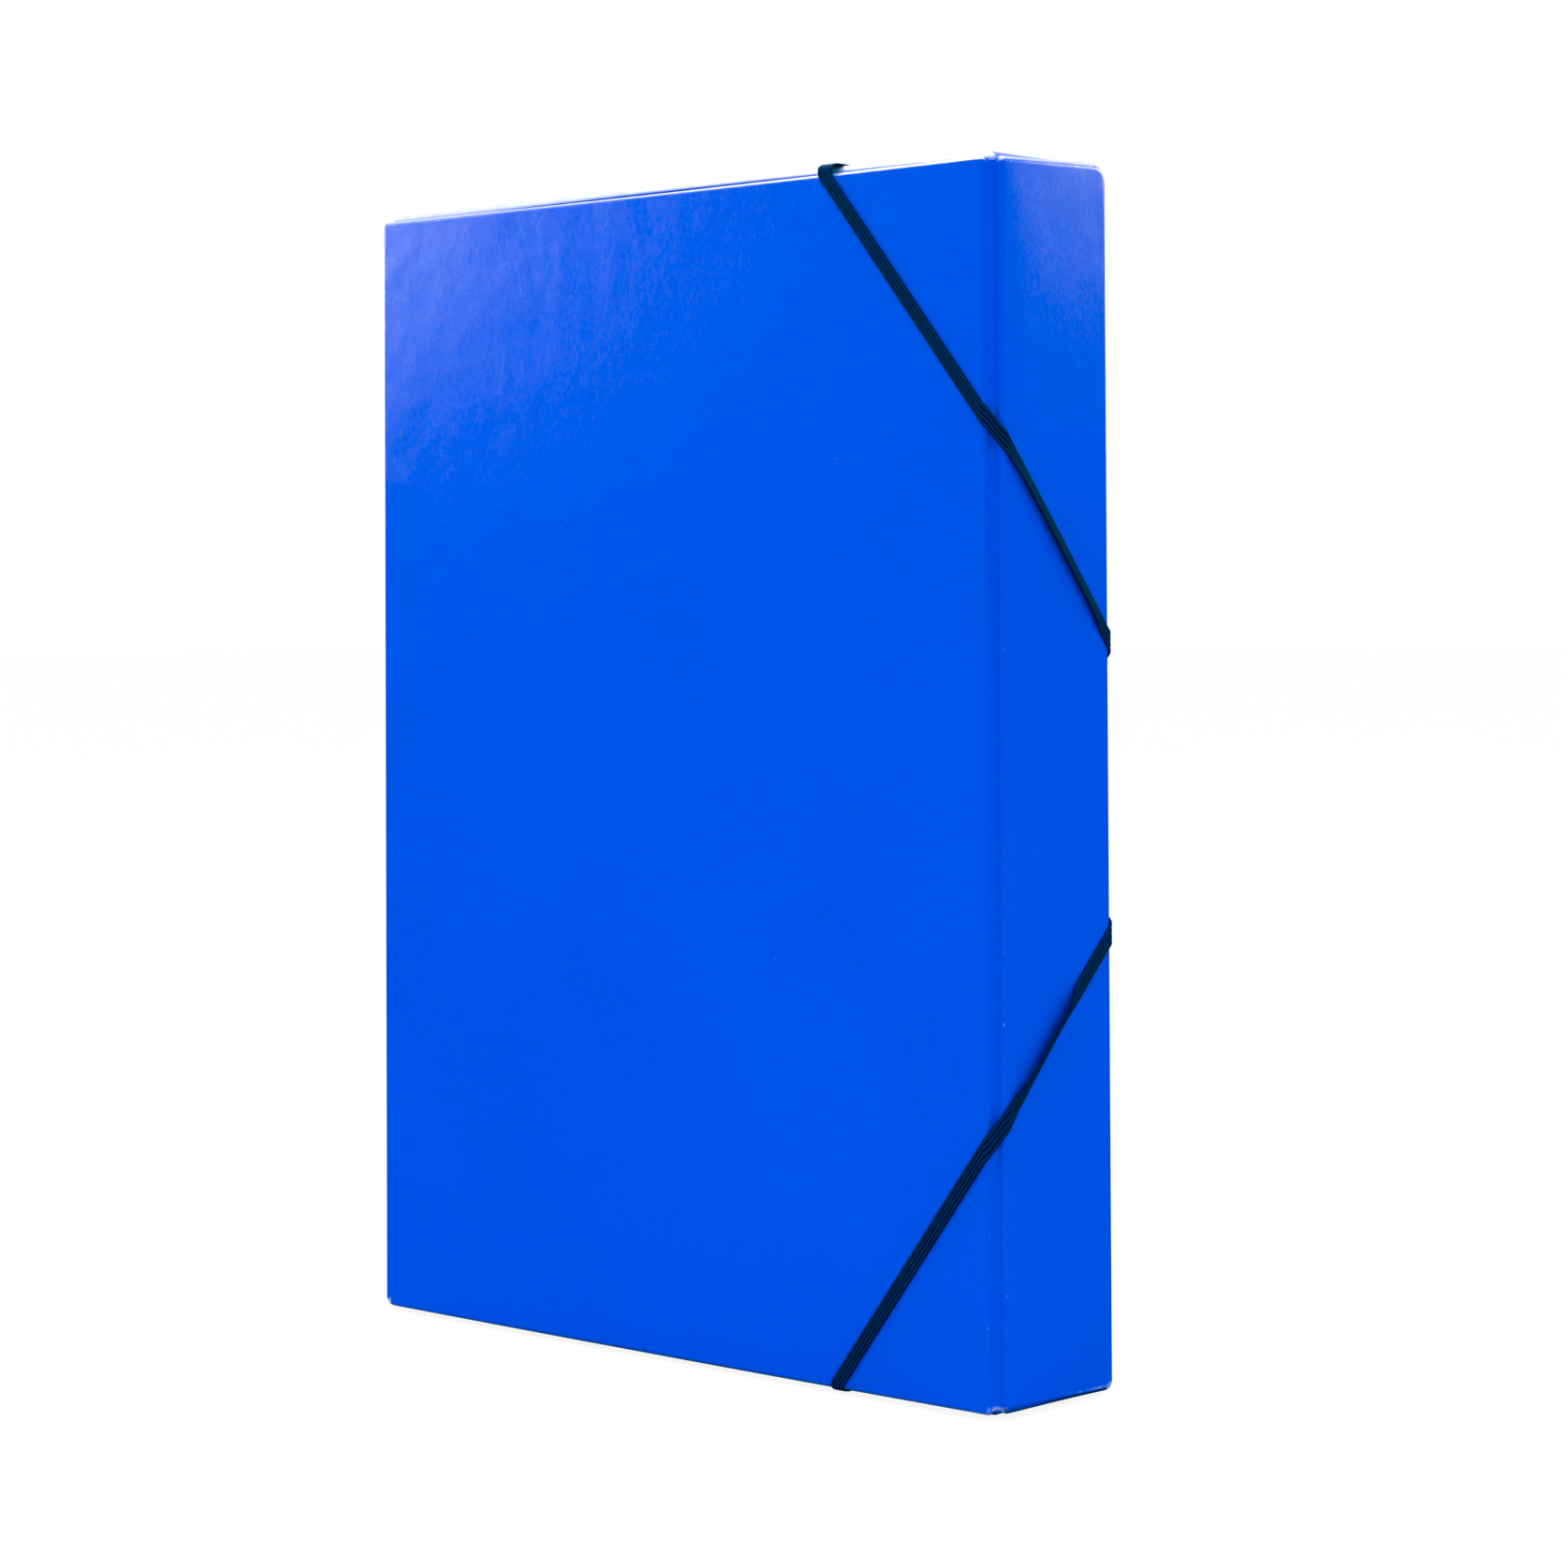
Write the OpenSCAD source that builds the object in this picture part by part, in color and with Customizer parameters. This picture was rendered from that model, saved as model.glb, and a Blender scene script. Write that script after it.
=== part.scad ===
// Rigid document box, standing on its lower edge. A case of four covered boards
// (back, spine, lid, fore-edge flap) is glued round a shallow tray, and two flat
// elastic bands run over the front fore-edge corners to hold lid and flap shut.
// X runs from the spine to the fore-edge, Y from the lid to the back, Z is up.
// The origin is the middle of the box's footprint, on the surface it stands on.

/* [Box] */
// Width from the spine face to the fore-edge face
box_w = 248; // [200:1:340]
// Depth from the lid face to the back face
box_d = 50; // [40:1:90]
// Height of the tray
box_h = 345; // [300:1:420]

/* [Case] */
// Thickness of the case boards
board_t = 2; // [1.6:0.1:2.4]
// Thickness of the covering paper and the lining paper
paper_t = 0.2; // [0.15:0.01:0.22]
// How much shorter the case boards are than the tray, at each end
case_inset = 1.7; // [1:0.1:3]
// How far the lid sits below the middle of its play
lid_drop = 0.4; // [0:0.1:0.8]
// How far the flap sits above the middle of its play
flap_lift = 0.4; // [0:0.1:0.8]
// How far the flap's ends spread from square, drawn in at its hinge and out at its free edge
flap_flare = 0.9; // [0:0.1:0.9]
// Width of paper turned in over the inner faces
turn_in = 15; // [8:1:20]
// Width of turned-in paper left showing round the lining
lining_margin = 4; // [2:0.5:6]
// Corner radius at the flap's upper free corner
flap_r_top = 5.5; // [1:0.5:8]
// Corner radius at the flap's lower free corner
flap_r_low = 2.5; // [1:0.5:8]
// Corner radius of the back board
back_r = 3; // [1:0.5:8]

/* [Hinge grooves] */
// Distance from a box corner to the edge of each covered board
groove_w = 3.65; // [3.5:0.05:3.8]
// Depth to which the hinge paper is pressed
groove_d = 2; // [1.6:0.1:2]

/* [Tray] */
// Thickness of the tray's wall boards
wall_t = 2; // [1.5:0.1:3]
// Thickness of the tray's floor board
floor_t = 1.8; // [1.5:0.1:2.5]
// Outer corner radius of the tray
tray_r = 3; // [2:0.5:6]
// Bevel along the tray's rim
rim_bevel = 1.25; // [1.2:0.05:1.5]
// Clearance between the tray's rim and the lid
lid_gap = 0.2; // [0.15:0.05:0.5]
// Clearance between the tray and the flap
flap_gap = 0.25; // [0.2:0.05:0.5]

/* [Elastic bands] */
// Width of a band
band_w = 5; // [4:0.5:8]
// Thickness of a band
band_t = 0.8; // [0.6:0.1:1.2]
// Distance from the fore-edge face to where a band crosses the end walls
band_x = 58.5; // [50:0.5:80]
// Upper band: distance from the top to where it meets the flap groove
upper_corner = 75; // [60:1:90]
// Upper band: distance from the top to where it leaves the flap
upper_back = 133.5; // [110:0.5:134]
// Lower band: distance from the bottom to where it meets the flap groove
lower_corner = 76; // [60:0.5:90]
// Lower band: distance from the bottom to where it leaves the flap
lower_back = 127.5; // [110:0.5:134]
// Distance from the box's edges to the slots that a band's ends pass through
slot_in = 20; // [18:1:26]

/* [Hidden] */

cover_blue = [0.0, 0.32, 0.92];
board_grey = [0.62, 0.6, 0.56];
lining_white = [0.9, 0.9, 0.88];
band_navy = [0.01, 0.07, 0.22];
clip_grey = [0.75, 0.75, 0.77];

over = 1;                         // how far a cutter runs past what it cuts
paper_gap = 0.05;                 // between a lining and the paper next to it
paper_diagonal = paper_t * sqrt(2);

// Outer faces of the box
spine_x = -box_w / 2;
fore_x = box_w / 2;
lid_y = -box_d / 2;
back_y = box_d / 2;

// Case boards
case_h = box_h - 2 * case_inset;
back_z = case_inset;              // lower ends of back and spine, lid, and flap
lid_z = case_inset - lid_drop;
flap_z = case_inset + flap_lift;
board_edge = groove_w + paper_t;  // box corner to bare board edge at a hinge
board_in = paper_t + board_t;     // outer face to a board's inner face

// Tray
tray_spine_x = spine_x + board_in + paper_t;
tray_fore_x = fore_x - board_in - 2 * paper_t - flap_gap;
tray_w = tray_fore_x - tray_spine_x;
rim_y = lid_y + board_in + 2 * paper_t + lid_gap;
tray_back_y = back_y - board_in - paper_t;
wall_in = paper_t + wall_t;       // tray face to a wall board's inner face
lined_in = wall_in + paper_t;     // tray face to the paper inside a wall
floor_y = tray_back_y - floor_t;  // floor board's inner face

// Bare boards from edge to edge, as [start, end]: along X for back and lid, Y for spine and flap
back_span = [spine_x + board_edge, tray_fore_x - paper_t];
lid_span = [spine_x + board_edge, fore_x - board_edge];
spine_span = [lid_y + board_edge, back_y - board_edge];
flap_span = [lid_y + board_edge, back_y - paper_t];

// Corner radii, from start-low round by end-low and end-high to start-high
sharp = [0, 0, 0, 0];
back_radii = [0, back_r, back_r, 0];
flap_radii = [0, flap_r_low, flap_r_top, 0];

// Spread of a board's ends, as [amount, hinge edge, free edge]
square_on = [0, 0, 1];
flap_spread = [flap_flare, flap_span[0], flap_span[1]];

// Bands
band_lift = 0.1;                  // clearance under a band
band_out = band_lift + band_t;    // box face to a band's outer face
band_half = band_w / 2;
band_bend = 3;                    // height at which a band turns aslant on the lid
band_mid_x = fore_x - band_x;     // middle of a band over the end walls
side_slot_x = fore_x - slot_in;
slot_from_middle = 12;            // least distance of a side slot from mid-height
clip_l = 10;
clip_t = 3;
clip_d = 1.18;
clip_gap = 0.02;                  // board's inner face to clip, and to band end

// ---- Frames and outlines ----

// Stand a flat shape up at y or x and extrude it the way the name says.
// The shape's own x runs along the box's X or Y, and its y runs up.
module toward_back(y) { translate([0, y, 0]) mirror([0, 1, 0]) rotate([90, 0, 0]) children(); }
module toward_lid(y) { translate([0, y, 0]) rotate([90, 0, 0]) children(); }
module toward_fore(x) { translate([x, 0, 0]) rotate([90, 0, 90]) children(); }
module toward_spine(x) {
    translate([x, 0, 0]) mirror([1, 0, 0]) rotate([90, 0, 90]) children();
}

// Turn something made for the lower end of the box over to the upper end.
module at_top() { translate([0, 0, box_h]) mirror([0, 0, 1]) children(); }

function inset(span, by) = [span[0] + by, span[1] - by];
function case_heights(z) = [z, z + case_h];
function board_heights(z) = inset(case_heights(z), paper_t);
function board_radii(radii) = [for (r = radii) r > 0 ? r - paper_t : 0];

// Quarter circle points from angle start on. A radius of 0 gives the corner itself.
function quarter(x, y, radius, start) =
    radius <= 0
        ? [[x, y]]
        : [for (i = [0:6])
            [x + radius * cos(start + i * 15), y + radius * sin(start + i * 15)]];

// How far a board's ends are drawn in at a place across it.
function drawn_in(place, spread) =
    spread[0] * (1 - 2 * (place - spread[1]) / (spread[2] - spread[1]));

// Rectangle over a span and heights, with its own radius at each corner, and a spread.
module outline(span, heights, radii = sharp, spread = square_on) {
    start_in = drawn_in(span[0], spread);
    end_in = drawn_in(span[1], spread);
    low = heights[0];
    high = heights[1];
    polygon(concat(
        quarter(span[0] + radii[0], low + start_in + radii[0], radii[0], 180),
        quarter(span[1] - radii[1], low + end_in + radii[1], radii[1], 270),
        quarter(span[1] - radii[2], high - end_in - radii[2], radii[2], 0),
        quarter(span[0] + radii[3], high - start_in - radii[3], radii[3], 90)));
}

// ---- Case panels: outer face at 0, extruded inward ----

module panel_board(span, z, radii = sharp, spread = square_on) {
    translate([0, 0, paper_t]) linear_extrude(board_t)
        outline(span, board_heights(z), board_radii(radii), spread);
}

// Covering paper: outer sheet, wrapped ends and turn-ins.
// With free_end, it also wraps the edge at the span's end.
module panel_cover(span, z, radii = sharp, spread = square_on, free_end = false) {
    start = span[0];
    end = span[1];
    difference() {
        linear_extrude(board_in + paper_t)
            outline([start, end + (free_end ? paper_t : 0)], case_heights(z), radii, spread);
        // room for the board
        translate([0, 0, paper_t]) linear_extrude(board_t)
            outline([start - over, end + (free_end ? 0 : over)],
                    board_heights(z), board_radii(radii), spread);
        // opening between the turn-ins
        translate([0, 0, board_in - 0.1]) linear_extrude(paper_t + over)
            outline([start - over, end + (free_end ? -turn_in : over)],
                    inset(board_heights(z), turn_in), spread = spread);
    }
}

// Lining: it lies on the board in the middle and steps up over the turn-ins.
module panel_lining(span, z, spread = square_on) {
    heights = board_heights(z);
    sheet_in = turn_in + paper_gap;
    step_in = sheet_in + 0.3;     // the raised border overlaps the sheet this far in
    translate([0, 0, board_in]) linear_extrude(paper_t)
        outline(inset(span, sheet_in), inset(heights, sheet_in), spread = spread);
    translate([0, 0, board_in + paper_t]) linear_extrude(paper_t) difference() {
        outline(inset(span, lining_margin), inset(heights, lining_margin), spread = spread);
        outline(inset(span, step_in), inset(heights, step_in), spread = spread);
    }
}

module back_board() {
    color(board_grey) difference() {
        toward_lid(back_y) panel_board(back_span, back_z, back_radii);
        band_slots();
    }
}

module back_cover_paper() {
    color(cover_blue) difference() {
        toward_lid(back_y) panel_cover(back_span, back_z, back_radii, free_end = true);
        band_slots();
    }
}

module spine_board() {
    color(board_grey) toward_fore(spine_x) panel_board(spine_span, back_z);
}

module spine_cover_paper() {
    color(cover_blue) toward_fore(spine_x) panel_cover(spine_span, back_z);
}

module lid_board() {
    color(board_grey) toward_back(lid_y) panel_board(lid_span, lid_z);
}

module lid_cover_paper() {
    color(cover_blue) toward_back(lid_y) panel_cover(lid_span, lid_z);
}

module lid_lining_paper() {
    color(lining_white) toward_back(lid_y) panel_lining(lid_span, lid_z);
}

module flap_board() {
    color(board_grey) toward_spine(fore_x)
        panel_board(flap_span, flap_z, flap_radii, flap_spread);
}

module flap_cover_paper() {
    color(cover_blue) toward_spine(fore_x)
        panel_cover(flap_span, flap_z, flap_radii, flap_spread, free_end = true);
}

module flap_lining_paper() {
    color(lining_white) toward_spine(fore_x) panel_lining(flap_span, flap_z, flap_spread);
}

// ---- Hinges: sections seen from above, with the box corner at the origin ----

// Hinge paper in a pressed groove.
module groove_section() {
    inner = groove_d + paper_diagonal - paper_t;
    polygon([[groove_w, 0], [groove_w, groove_d], [groove_d, groove_w], [0, groove_w],
             [0, board_edge], [inner, board_edge], [board_edge, inner], [board_edge, 0]]);
}

// Lining strip over the inside of the same joint.
module joint_lining_section() {
    // x + y along the slanting outer and inner faces
    outer_sum = groove_w + groove_d + paper_diagonal + 0.07;
    inner_sum = outer_sum + paper_diagonal;
    reach = board_edge + turn_in;
    face = board_in + paper_t;
    polygon([[reach, board_in], [outer_sum - board_in, board_in],
             [board_in, outer_sum - board_in], [board_in, reach],
             [face, reach], [face, inner_sum - face],
             [inner_sum - face, face], [reach, face]]);
}

// Upright strip as long as a case board that starts at z, cut short at either end.
module case_strip(z, low_trim = 0, high_trim = 0) {
    translate([0, 0, z + low_trim]) linear_extrude(case_h - low_trim - high_trim) children();
}

module at_spine_lid() { translate([spine_x, lid_y, 0]) children(); }
module at_lid_flap() { translate([fore_x, lid_y, 0]) mirror([1, 0, 0]) children(); }

module back_spine_hinge_paper() {
    color(cover_blue) translate([spine_x, back_y, 0]) mirror([0, 1, 0])
        case_strip(back_z) groove_section();
}

module spine_lid_hinge_paper() {
    color(cover_blue) at_spine_lid() case_strip(lid_z, low_trim = 0.2) groove_section();
}

module spine_lid_hinge_lining() {
    color(cover_blue) at_spine_lid()
        case_strip(back_z, low_trim = turn_in + 1, high_trim = turn_in + 1)
            joint_lining_section();
}

module lid_flap_hinge_paper() {
    color(cover_blue) at_lid_flap() case_strip(lid_z, low_trim = 0.7) groove_section();
}

module lid_flap_hinge_lining() {
    color(cover_blue) at_lid_flap()
        case_strip(flap_z, low_trim = turn_in + 1.5, high_trim = turn_in + 2)
            joint_lining_section();
}

// ---- Tray ----

// Cutting triangle over a corner at the origin, reaching size along each side.
// The material lies in direction dir from the corner.
module bevel_wedge(size, dir) {
    far = size + over;
    polygon([[-dir[0] * over, -dir[1] * over],
             [dir[0] * far, -dir[1] * over],
             [-dir[0] * over, dir[1] * far]]);
}

module upright_bevel(x, y, size, dir) {
    translate([x, y, -over]) linear_extrude(box_h + 2 * over) bevel_wedge(size, dir);
}

// Bevel of the rim along an end wall at z.
module end_bevel(z, size, dir) {
    translate([tray_spine_x - over, rim_y, z]) rotate([90, 0, 90])
        linear_extrude(tray_w + 2 * over) bevel_wedge(size, dir);
}

// Prism of the tray's outline inset by a distance, between two depths.
// Left out, the depths run right through the tray.
module cavity(by, from = rim_y - over, to = tray_back_y + over, radius = 0) {
    toward_back(from) linear_extrude(to - from)
        outline(inset([tray_spine_x, tray_fore_x], by), inset([0, box_h], by),
                [radius, radius, radius, radius]);
}

// The tray's outer block, inset all round but at the back, with bevelled rim and rear spine edge.
module tray_block(by) {
    bevel = rim_bevel + by * sqrt(2);
    difference() {
        cavity(by, rim_y + by, tray_back_y, tray_r - by);
        upright_bevel(tray_spine_x, rim_y, bevel, [1, 1]);
        upright_bevel(tray_fore_x, rim_y, bevel, [-1, 1]);
        upright_bevel(tray_spine_x, tray_back_y, bevel, [1, -1]);
        end_bevel(0, bevel, [1, 1]);
        end_bevel(box_h, bevel, [1, -1]);
    }
}

// The part of the ring of wall boards that lies within a width and height from x, z.
module wall_part(x, z, width, height) {
    intersection() {
        difference() {
            tray_block(paper_t);
            cavity(wall_in);
        }
        translate([x, rim_y - over, z]) cube([width, box_d, height]);
    }
}

// An end wall, over the tray's whole width.
module end_wall(z) { wall_part(tray_spine_x - over, z, tray_w + 2 * over, wall_in + over); }

// A side wall, between the end walls.
module side_wall(x) { wall_part(x, wall_in, wall_in + over, box_h - 2 * wall_in); }

module tray_top_wall() {
    color(board_grey) end_wall(box_h - wall_in);
}

module tray_bottom_wall() {
    color(board_grey) end_wall(-over);
}

module tray_spine_wall() {
    color(board_grey) side_wall(tray_spine_x - over);
}

module tray_fore_edge_wall() {
    color(board_grey) side_wall(tray_fore_x - wall_in);
}

module tray_wrap_paper() {
    color(cover_blue) {
        // outer faces and rim
        difference() {
            tray_block(0);
            tray_block(paper_t);
            cavity(lined_in);
        }
        // turn-in down the inside of the walls
        difference() {
            cavity(wall_in, rim_y + paper_t / 2, rim_y + turn_in);
            cavity(lined_in);
        }
    }
}

module tray_wall_lining() {
    color(lining_white) difference() {
        cavity(wall_in, rim_y + turn_in + paper_gap, floor_y);
        cavity(lined_in);
    }
}

module tray_floor_lining() {
    color(lining_white) cavity(lined_in + paper_gap, floor_y - paper_t, floor_y);
}

// The floor board, with pockets for the bands' end clips.
module tray_floor_board() {
    color(board_grey) difference() {
        cavity(wall_in, floor_y, tray_back_y);
        all_end_blocks(clip_l + 2, clip_t + 1, floor_y - over, floor_t + 2 * over);
    }
}

// ---- Elastic bands ----

// Rise of a band across the flap, for each millimetre of depth.
function rise(corner_h, back_h) = (back_h - corner_h) / box_d;

// Height of a band's side slot: the band's line over the flap runs on to it, up to a limit.
function slot_h(corner_h, back_h) =
    min(back_h + slot_in * rise(corner_h, back_h), box_h / 2 - slot_from_middle);

// Half the upright extent of a band that runs at a slope.
function half_extent(slope) = band_half * sqrt(1 + slope * slope);

// Blocks centred on the two tucked-in ends of a lower band, from y on.
// length runs along the band's width, and side_h is the side slot's height.
module end_blocks(side_h, length, thickness, y, depth) {
    margin = (thickness - band_t) / 2;
    translate([band_mid_x - length / 2, y, slot_in - margin]) cube([length, depth, thickness]);
    translate([side_slot_x - margin, y, side_h - length / 2]) cube([thickness, depth, length]);
}

// The same for both bands.
module all_end_blocks(length, thickness, y, depth) {
    end_blocks(slot_h(lower_corner, lower_back), length, thickness, y, depth);
    at_top() end_blocks(slot_h(upper_corner, upper_back), length, thickness, y, depth);
}

// Cutters for the slots in the back board.
module band_slots() {
    cut_d = 10;
    all_end_blocks(band_w + 1, band_t + 0.8, back_y - cut_d / 2, cut_d);
}

// Clips on the bands' ends, inside the back board.
module elastic_end_clips() {
    color(clip_grey)
        all_end_blocks(clip_l, clip_t, back_y - board_in - clip_gap - clip_d, clip_d);
}

// One band at the lower end, from its slot near the bottom edge, under the box, up across
// the lid, round the flap to the back and into its slot near the fore-edge.
module band(corner_h, back_h) {
    side_h = slot_h(corner_h, back_h);
    outer_x = fore_x + band_out;
    left_x = band_mid_x - band_half;
    right_x = band_mid_x + band_half;
    lid_slope = (corner_h - band_bend) / band_x;
    lid_half = half_extent(lid_slope);
    lid_end_h = band_bend + (outer_x - band_mid_x) * lid_slope;
    flap_slope = rise(corner_h, back_h);
    flap_half = half_extent(flap_slope);
    flap_start_h = corner_h - band_out * flap_slope;
    flap_end_h = back_h + band_out * flap_slope;
    back_start_h = back_h - band_out * flap_slope;

    // under the bottom wall
    translate([left_x, lid_y - band_out, -band_out])
        cube([band_w, box_d + 2 * band_out, band_t]);
    // up the back to the slot
    translate([left_x, back_y + band_lift, -band_out])
        cube([band_w, band_t, slot_in + band_t + band_out]);
    // across the lid
    toward_lid(lid_y - band_lift) linear_extrude(band_t) polygon([
        [left_x, -band_out],
        [left_x, band_bend - band_half * lid_slope + lid_half],
        [outer_x, lid_end_h + lid_half],
        [outer_x, lid_end_h - lid_half],
        [right_x, band_bend + band_half * lid_slope - lid_half],
        [right_x, -band_out]]);
    // across the flap
    toward_fore(fore_x + band_lift) linear_extrude(band_t) polygon([
        [lid_y - band_out, flap_start_h - flap_half],
        [back_y + band_out, flap_end_h - flap_half],
        [back_y + band_out, flap_end_h + flap_half],
        [lid_y - band_out, flap_start_h + flap_half]]);
    // on across the back to the slot near the fore-edge
    toward_lid(back_y + band_lift + band_t) linear_extrude(band_t) polygon([
        [side_slot_x, side_h - band_half],
        [outer_x, back_start_h - flap_half],
        [outer_x, back_start_h + flap_half],
        [side_slot_x, side_h + band_half]]);
    // in through both slots
    end_blocks(side_h, band_w, band_t,
               back_y - board_in + clip_gap, board_in + band_out - clip_gap);
}

module lower_elastic() {
    color(band_navy) band(lower_corner, lower_back);
}

module upper_elastic() {
    color(band_navy) at_top() band(upper_corner, upper_back);
}

back_board();
back_cover_paper();
spine_board();
spine_cover_paper();
back_spine_hinge_paper();
spine_lid_hinge_paper();
spine_lid_hinge_lining();
lid_board();
lid_cover_paper();
lid_lining_paper();
lid_flap_hinge_paper();
lid_flap_hinge_lining();
flap_board();
flap_cover_paper();
flap_lining_paper();
tray_floor_board();
tray_top_wall();
tray_bottom_wall();
tray_spine_wall();
tray_fore_edge_wall();
tray_wrap_paper();
tray_wall_lining();
tray_floor_lining();
elastic_end_clips();
upper_elastic();
lower_elastic();
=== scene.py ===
# Looks of the blue document box: covered case boards, paper hinges, tray, linings and elastic bands,
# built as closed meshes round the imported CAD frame. Lengths in the helpers are millimetres.
import math
import random

import bmesh
import bpy
import numpy as np
from mathutils import Matrix, Vector, noise

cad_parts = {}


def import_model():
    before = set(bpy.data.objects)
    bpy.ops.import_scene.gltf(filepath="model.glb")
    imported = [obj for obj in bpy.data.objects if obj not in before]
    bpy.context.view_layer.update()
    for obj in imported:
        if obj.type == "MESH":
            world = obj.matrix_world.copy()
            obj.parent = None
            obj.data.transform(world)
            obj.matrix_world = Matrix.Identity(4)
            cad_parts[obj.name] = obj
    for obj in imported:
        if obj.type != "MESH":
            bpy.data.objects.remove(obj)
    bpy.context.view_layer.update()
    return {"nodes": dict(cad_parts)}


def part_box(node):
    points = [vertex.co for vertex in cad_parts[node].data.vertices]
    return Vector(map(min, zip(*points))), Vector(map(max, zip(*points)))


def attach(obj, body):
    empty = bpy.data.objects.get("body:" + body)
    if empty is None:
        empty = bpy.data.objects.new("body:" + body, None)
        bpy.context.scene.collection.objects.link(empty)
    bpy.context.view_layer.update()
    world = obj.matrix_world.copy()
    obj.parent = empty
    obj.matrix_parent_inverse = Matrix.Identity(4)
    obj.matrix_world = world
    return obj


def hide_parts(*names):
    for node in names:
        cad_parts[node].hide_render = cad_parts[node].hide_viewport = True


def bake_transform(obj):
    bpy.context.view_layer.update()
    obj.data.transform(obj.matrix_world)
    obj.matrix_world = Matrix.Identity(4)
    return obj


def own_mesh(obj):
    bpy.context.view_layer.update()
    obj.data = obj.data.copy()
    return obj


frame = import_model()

random.seed(7)
MM = 0.001


def box(node):
    lo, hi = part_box(node)
    return [v * 1000 for v in lo], [v * 1000 for v in hi]


# ---------------------------------------------------------------- places, all read from the frame
(_, Y0, LID_Z0), (_, _, LID_Z1) = box("lid_cover_paper")
(X0, _, CASE_Z0), (_, _, CASE_Z1) = box("spine_cover_paper")
(_, _, _), (BACK_X1, Y1, _) = box("back_cover_paper")
(_, FLAP_Y0, FLAP_Z0), (X1, _, FLAP_Z1) = box("flap_cover_paper")
(TA, TF, _), (TB, TK, BOX_H) = box("tray_wrap_paper")
(_, _, HP_Z0), (_, _, HP_Z1) = box("lid_flap_hinge_paper")
(_, _, HS_Z0), (_, _, HS_Z1) = box("spine_lid_hinge_paper")
(_, _, JL_Z0), (_, _, JL_Z1) = box("lid_flap_hinge_lining")
(_, _, JS_Z0), (_, _, JS_Z1) = box("spine_lid_hinge_lining")
TF += 0.25                                # the tray's rim stays clear of the lid's lining
T = 0.2                                   # paper
BOARD = box("lid_board")[1][1] - box("lid_board")[0][1]
A = T + BOARD                             # outer face to a board's inner face
EDGE = box("lid_board")[0][0] - X0        # box corner to a bare board edge
GROOVE = EDGE - T                         # box corner to the groove's wall
TURN = 15.0
R_EDGE = 1.1                             # rounding of a covered edge
FLARE = (FLAP_Z1 - FLAP_Z0 - (LID_Z1 - LID_Z0)) / 2


# ---------------------------------------------------------------- mesh helpers
def to_object(name, verts, faces, mat, smooth=40.0, coords=None, merge=2e-6, outward=None):
    """Mesh object from millimetre verts. coords adds a per-vertex vector attribute named along."""
    me = bpy.data.meshes.new(name)
    me.from_pydata([(v[0] * MM, v[1] * MM, v[2] * MM) for v in verts], [], [tuple(f) for f in faces])
    if coords is not None:
        at = me.attributes.new("along", "FLOAT_VECTOR", "POINT")
        at.data.foreach_set("vector", np.array(coords, np.float32).ravel())
    bm = bmesh.new()
    bm.from_mesh(me)
    if merge:
        bmesh.ops.remove_doubles(bm, verts=bm.verts, dist=merge)
        bmesh.ops.dissolve_degenerate(bm, edges=bm.edges, dist=1e-7)
    bmesh.ops.recalc_face_normals(bm, faces=bm.faces)
    if outward is not None:
        bm.faces.ensure_lookup_table()
        best = max(bm.faces, key=lambda f: f.calc_area())
        if best.normal.dot(Vector(outward)) < 0:
            bmesh.ops.reverse_faces(bm, faces=bm.faces)
    bm.to_mesh(me)
    bm.free()
    me.materials.append(mat)
    me.polygons.foreach_set("use_smooth", [True] * len(me.polygons))
    me.set_sharp_from_angle(angle=math.radians(smooth))
    ob = bpy.data.objects.new(name, me)
    bpy.context.scene.collection.objects.link(ob)
    return ob


def thicken(ob, t, smooth=40.0):
    """Gives an open sheet its thickness, inward from its outer face, and closes its rim."""
    mod = ob.modifiers.new("paper", "SOLIDIFY")
    mod.thickness = t * MM
    mod.offset = -1
    mod.use_even_offset = True
    mod.use_rim = True
    mod.use_quality_normals = True
    mod.thickness_clamp = 0
    dg = bpy.context.evaluated_depsgraph_get()
    me = bpy.data.meshes.new_from_object(ob.evaluated_get(dg))
    old = ob.data
    ob.modifiers.clear()
    ob.data = me
    bpy.data.meshes.remove(old)
    me.name = ob.name
    me.polygons.foreach_set("use_smooth", [True] * len(me.polygons))
    me.set_sharp_from_angle(angle=math.radians(smooth))
    return ob


def remember(ob):
    """Stores where each vertex is at rest, in millimetres, for the materials to use."""
    me = ob.data
    co = np.zeros(len(me.vertices) * 3, np.float32)
    me.vertices.foreach_get("co", co)
    at = me.attributes.get("rest") or me.attributes.new("rest", "FLOAT_VECTOR", "POINT")
    at.data.foreach_set("vector", co * 1000)
    return ob


def lines(a, b, step, zones=(), extra=()):
    """Sorted grid coordinates from a to b: plain steps, fine zones (lo, hi, n), and extra values."""
    vals = list(np.linspace(a, b, max(2, int(round((b - a) / step)) + 1)))
    for lo, hi, n in zones:
        vals = [v for v in vals if not (lo + 1e-6 < v < hi - 1e-6)]
        vals += list(np.linspace(lo, hi, n + 1))
    for e in extra:
        vals = [v for v in vals if abs(v - e) > 0.35 or v in (a, b)]
        vals.append(e)
    vals = sorted(vals)
    out = [vals[0]]
    for v in vals[1:]:
        if v - out[-1] > 1e-4:
            out.append(v)
    return out


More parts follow.
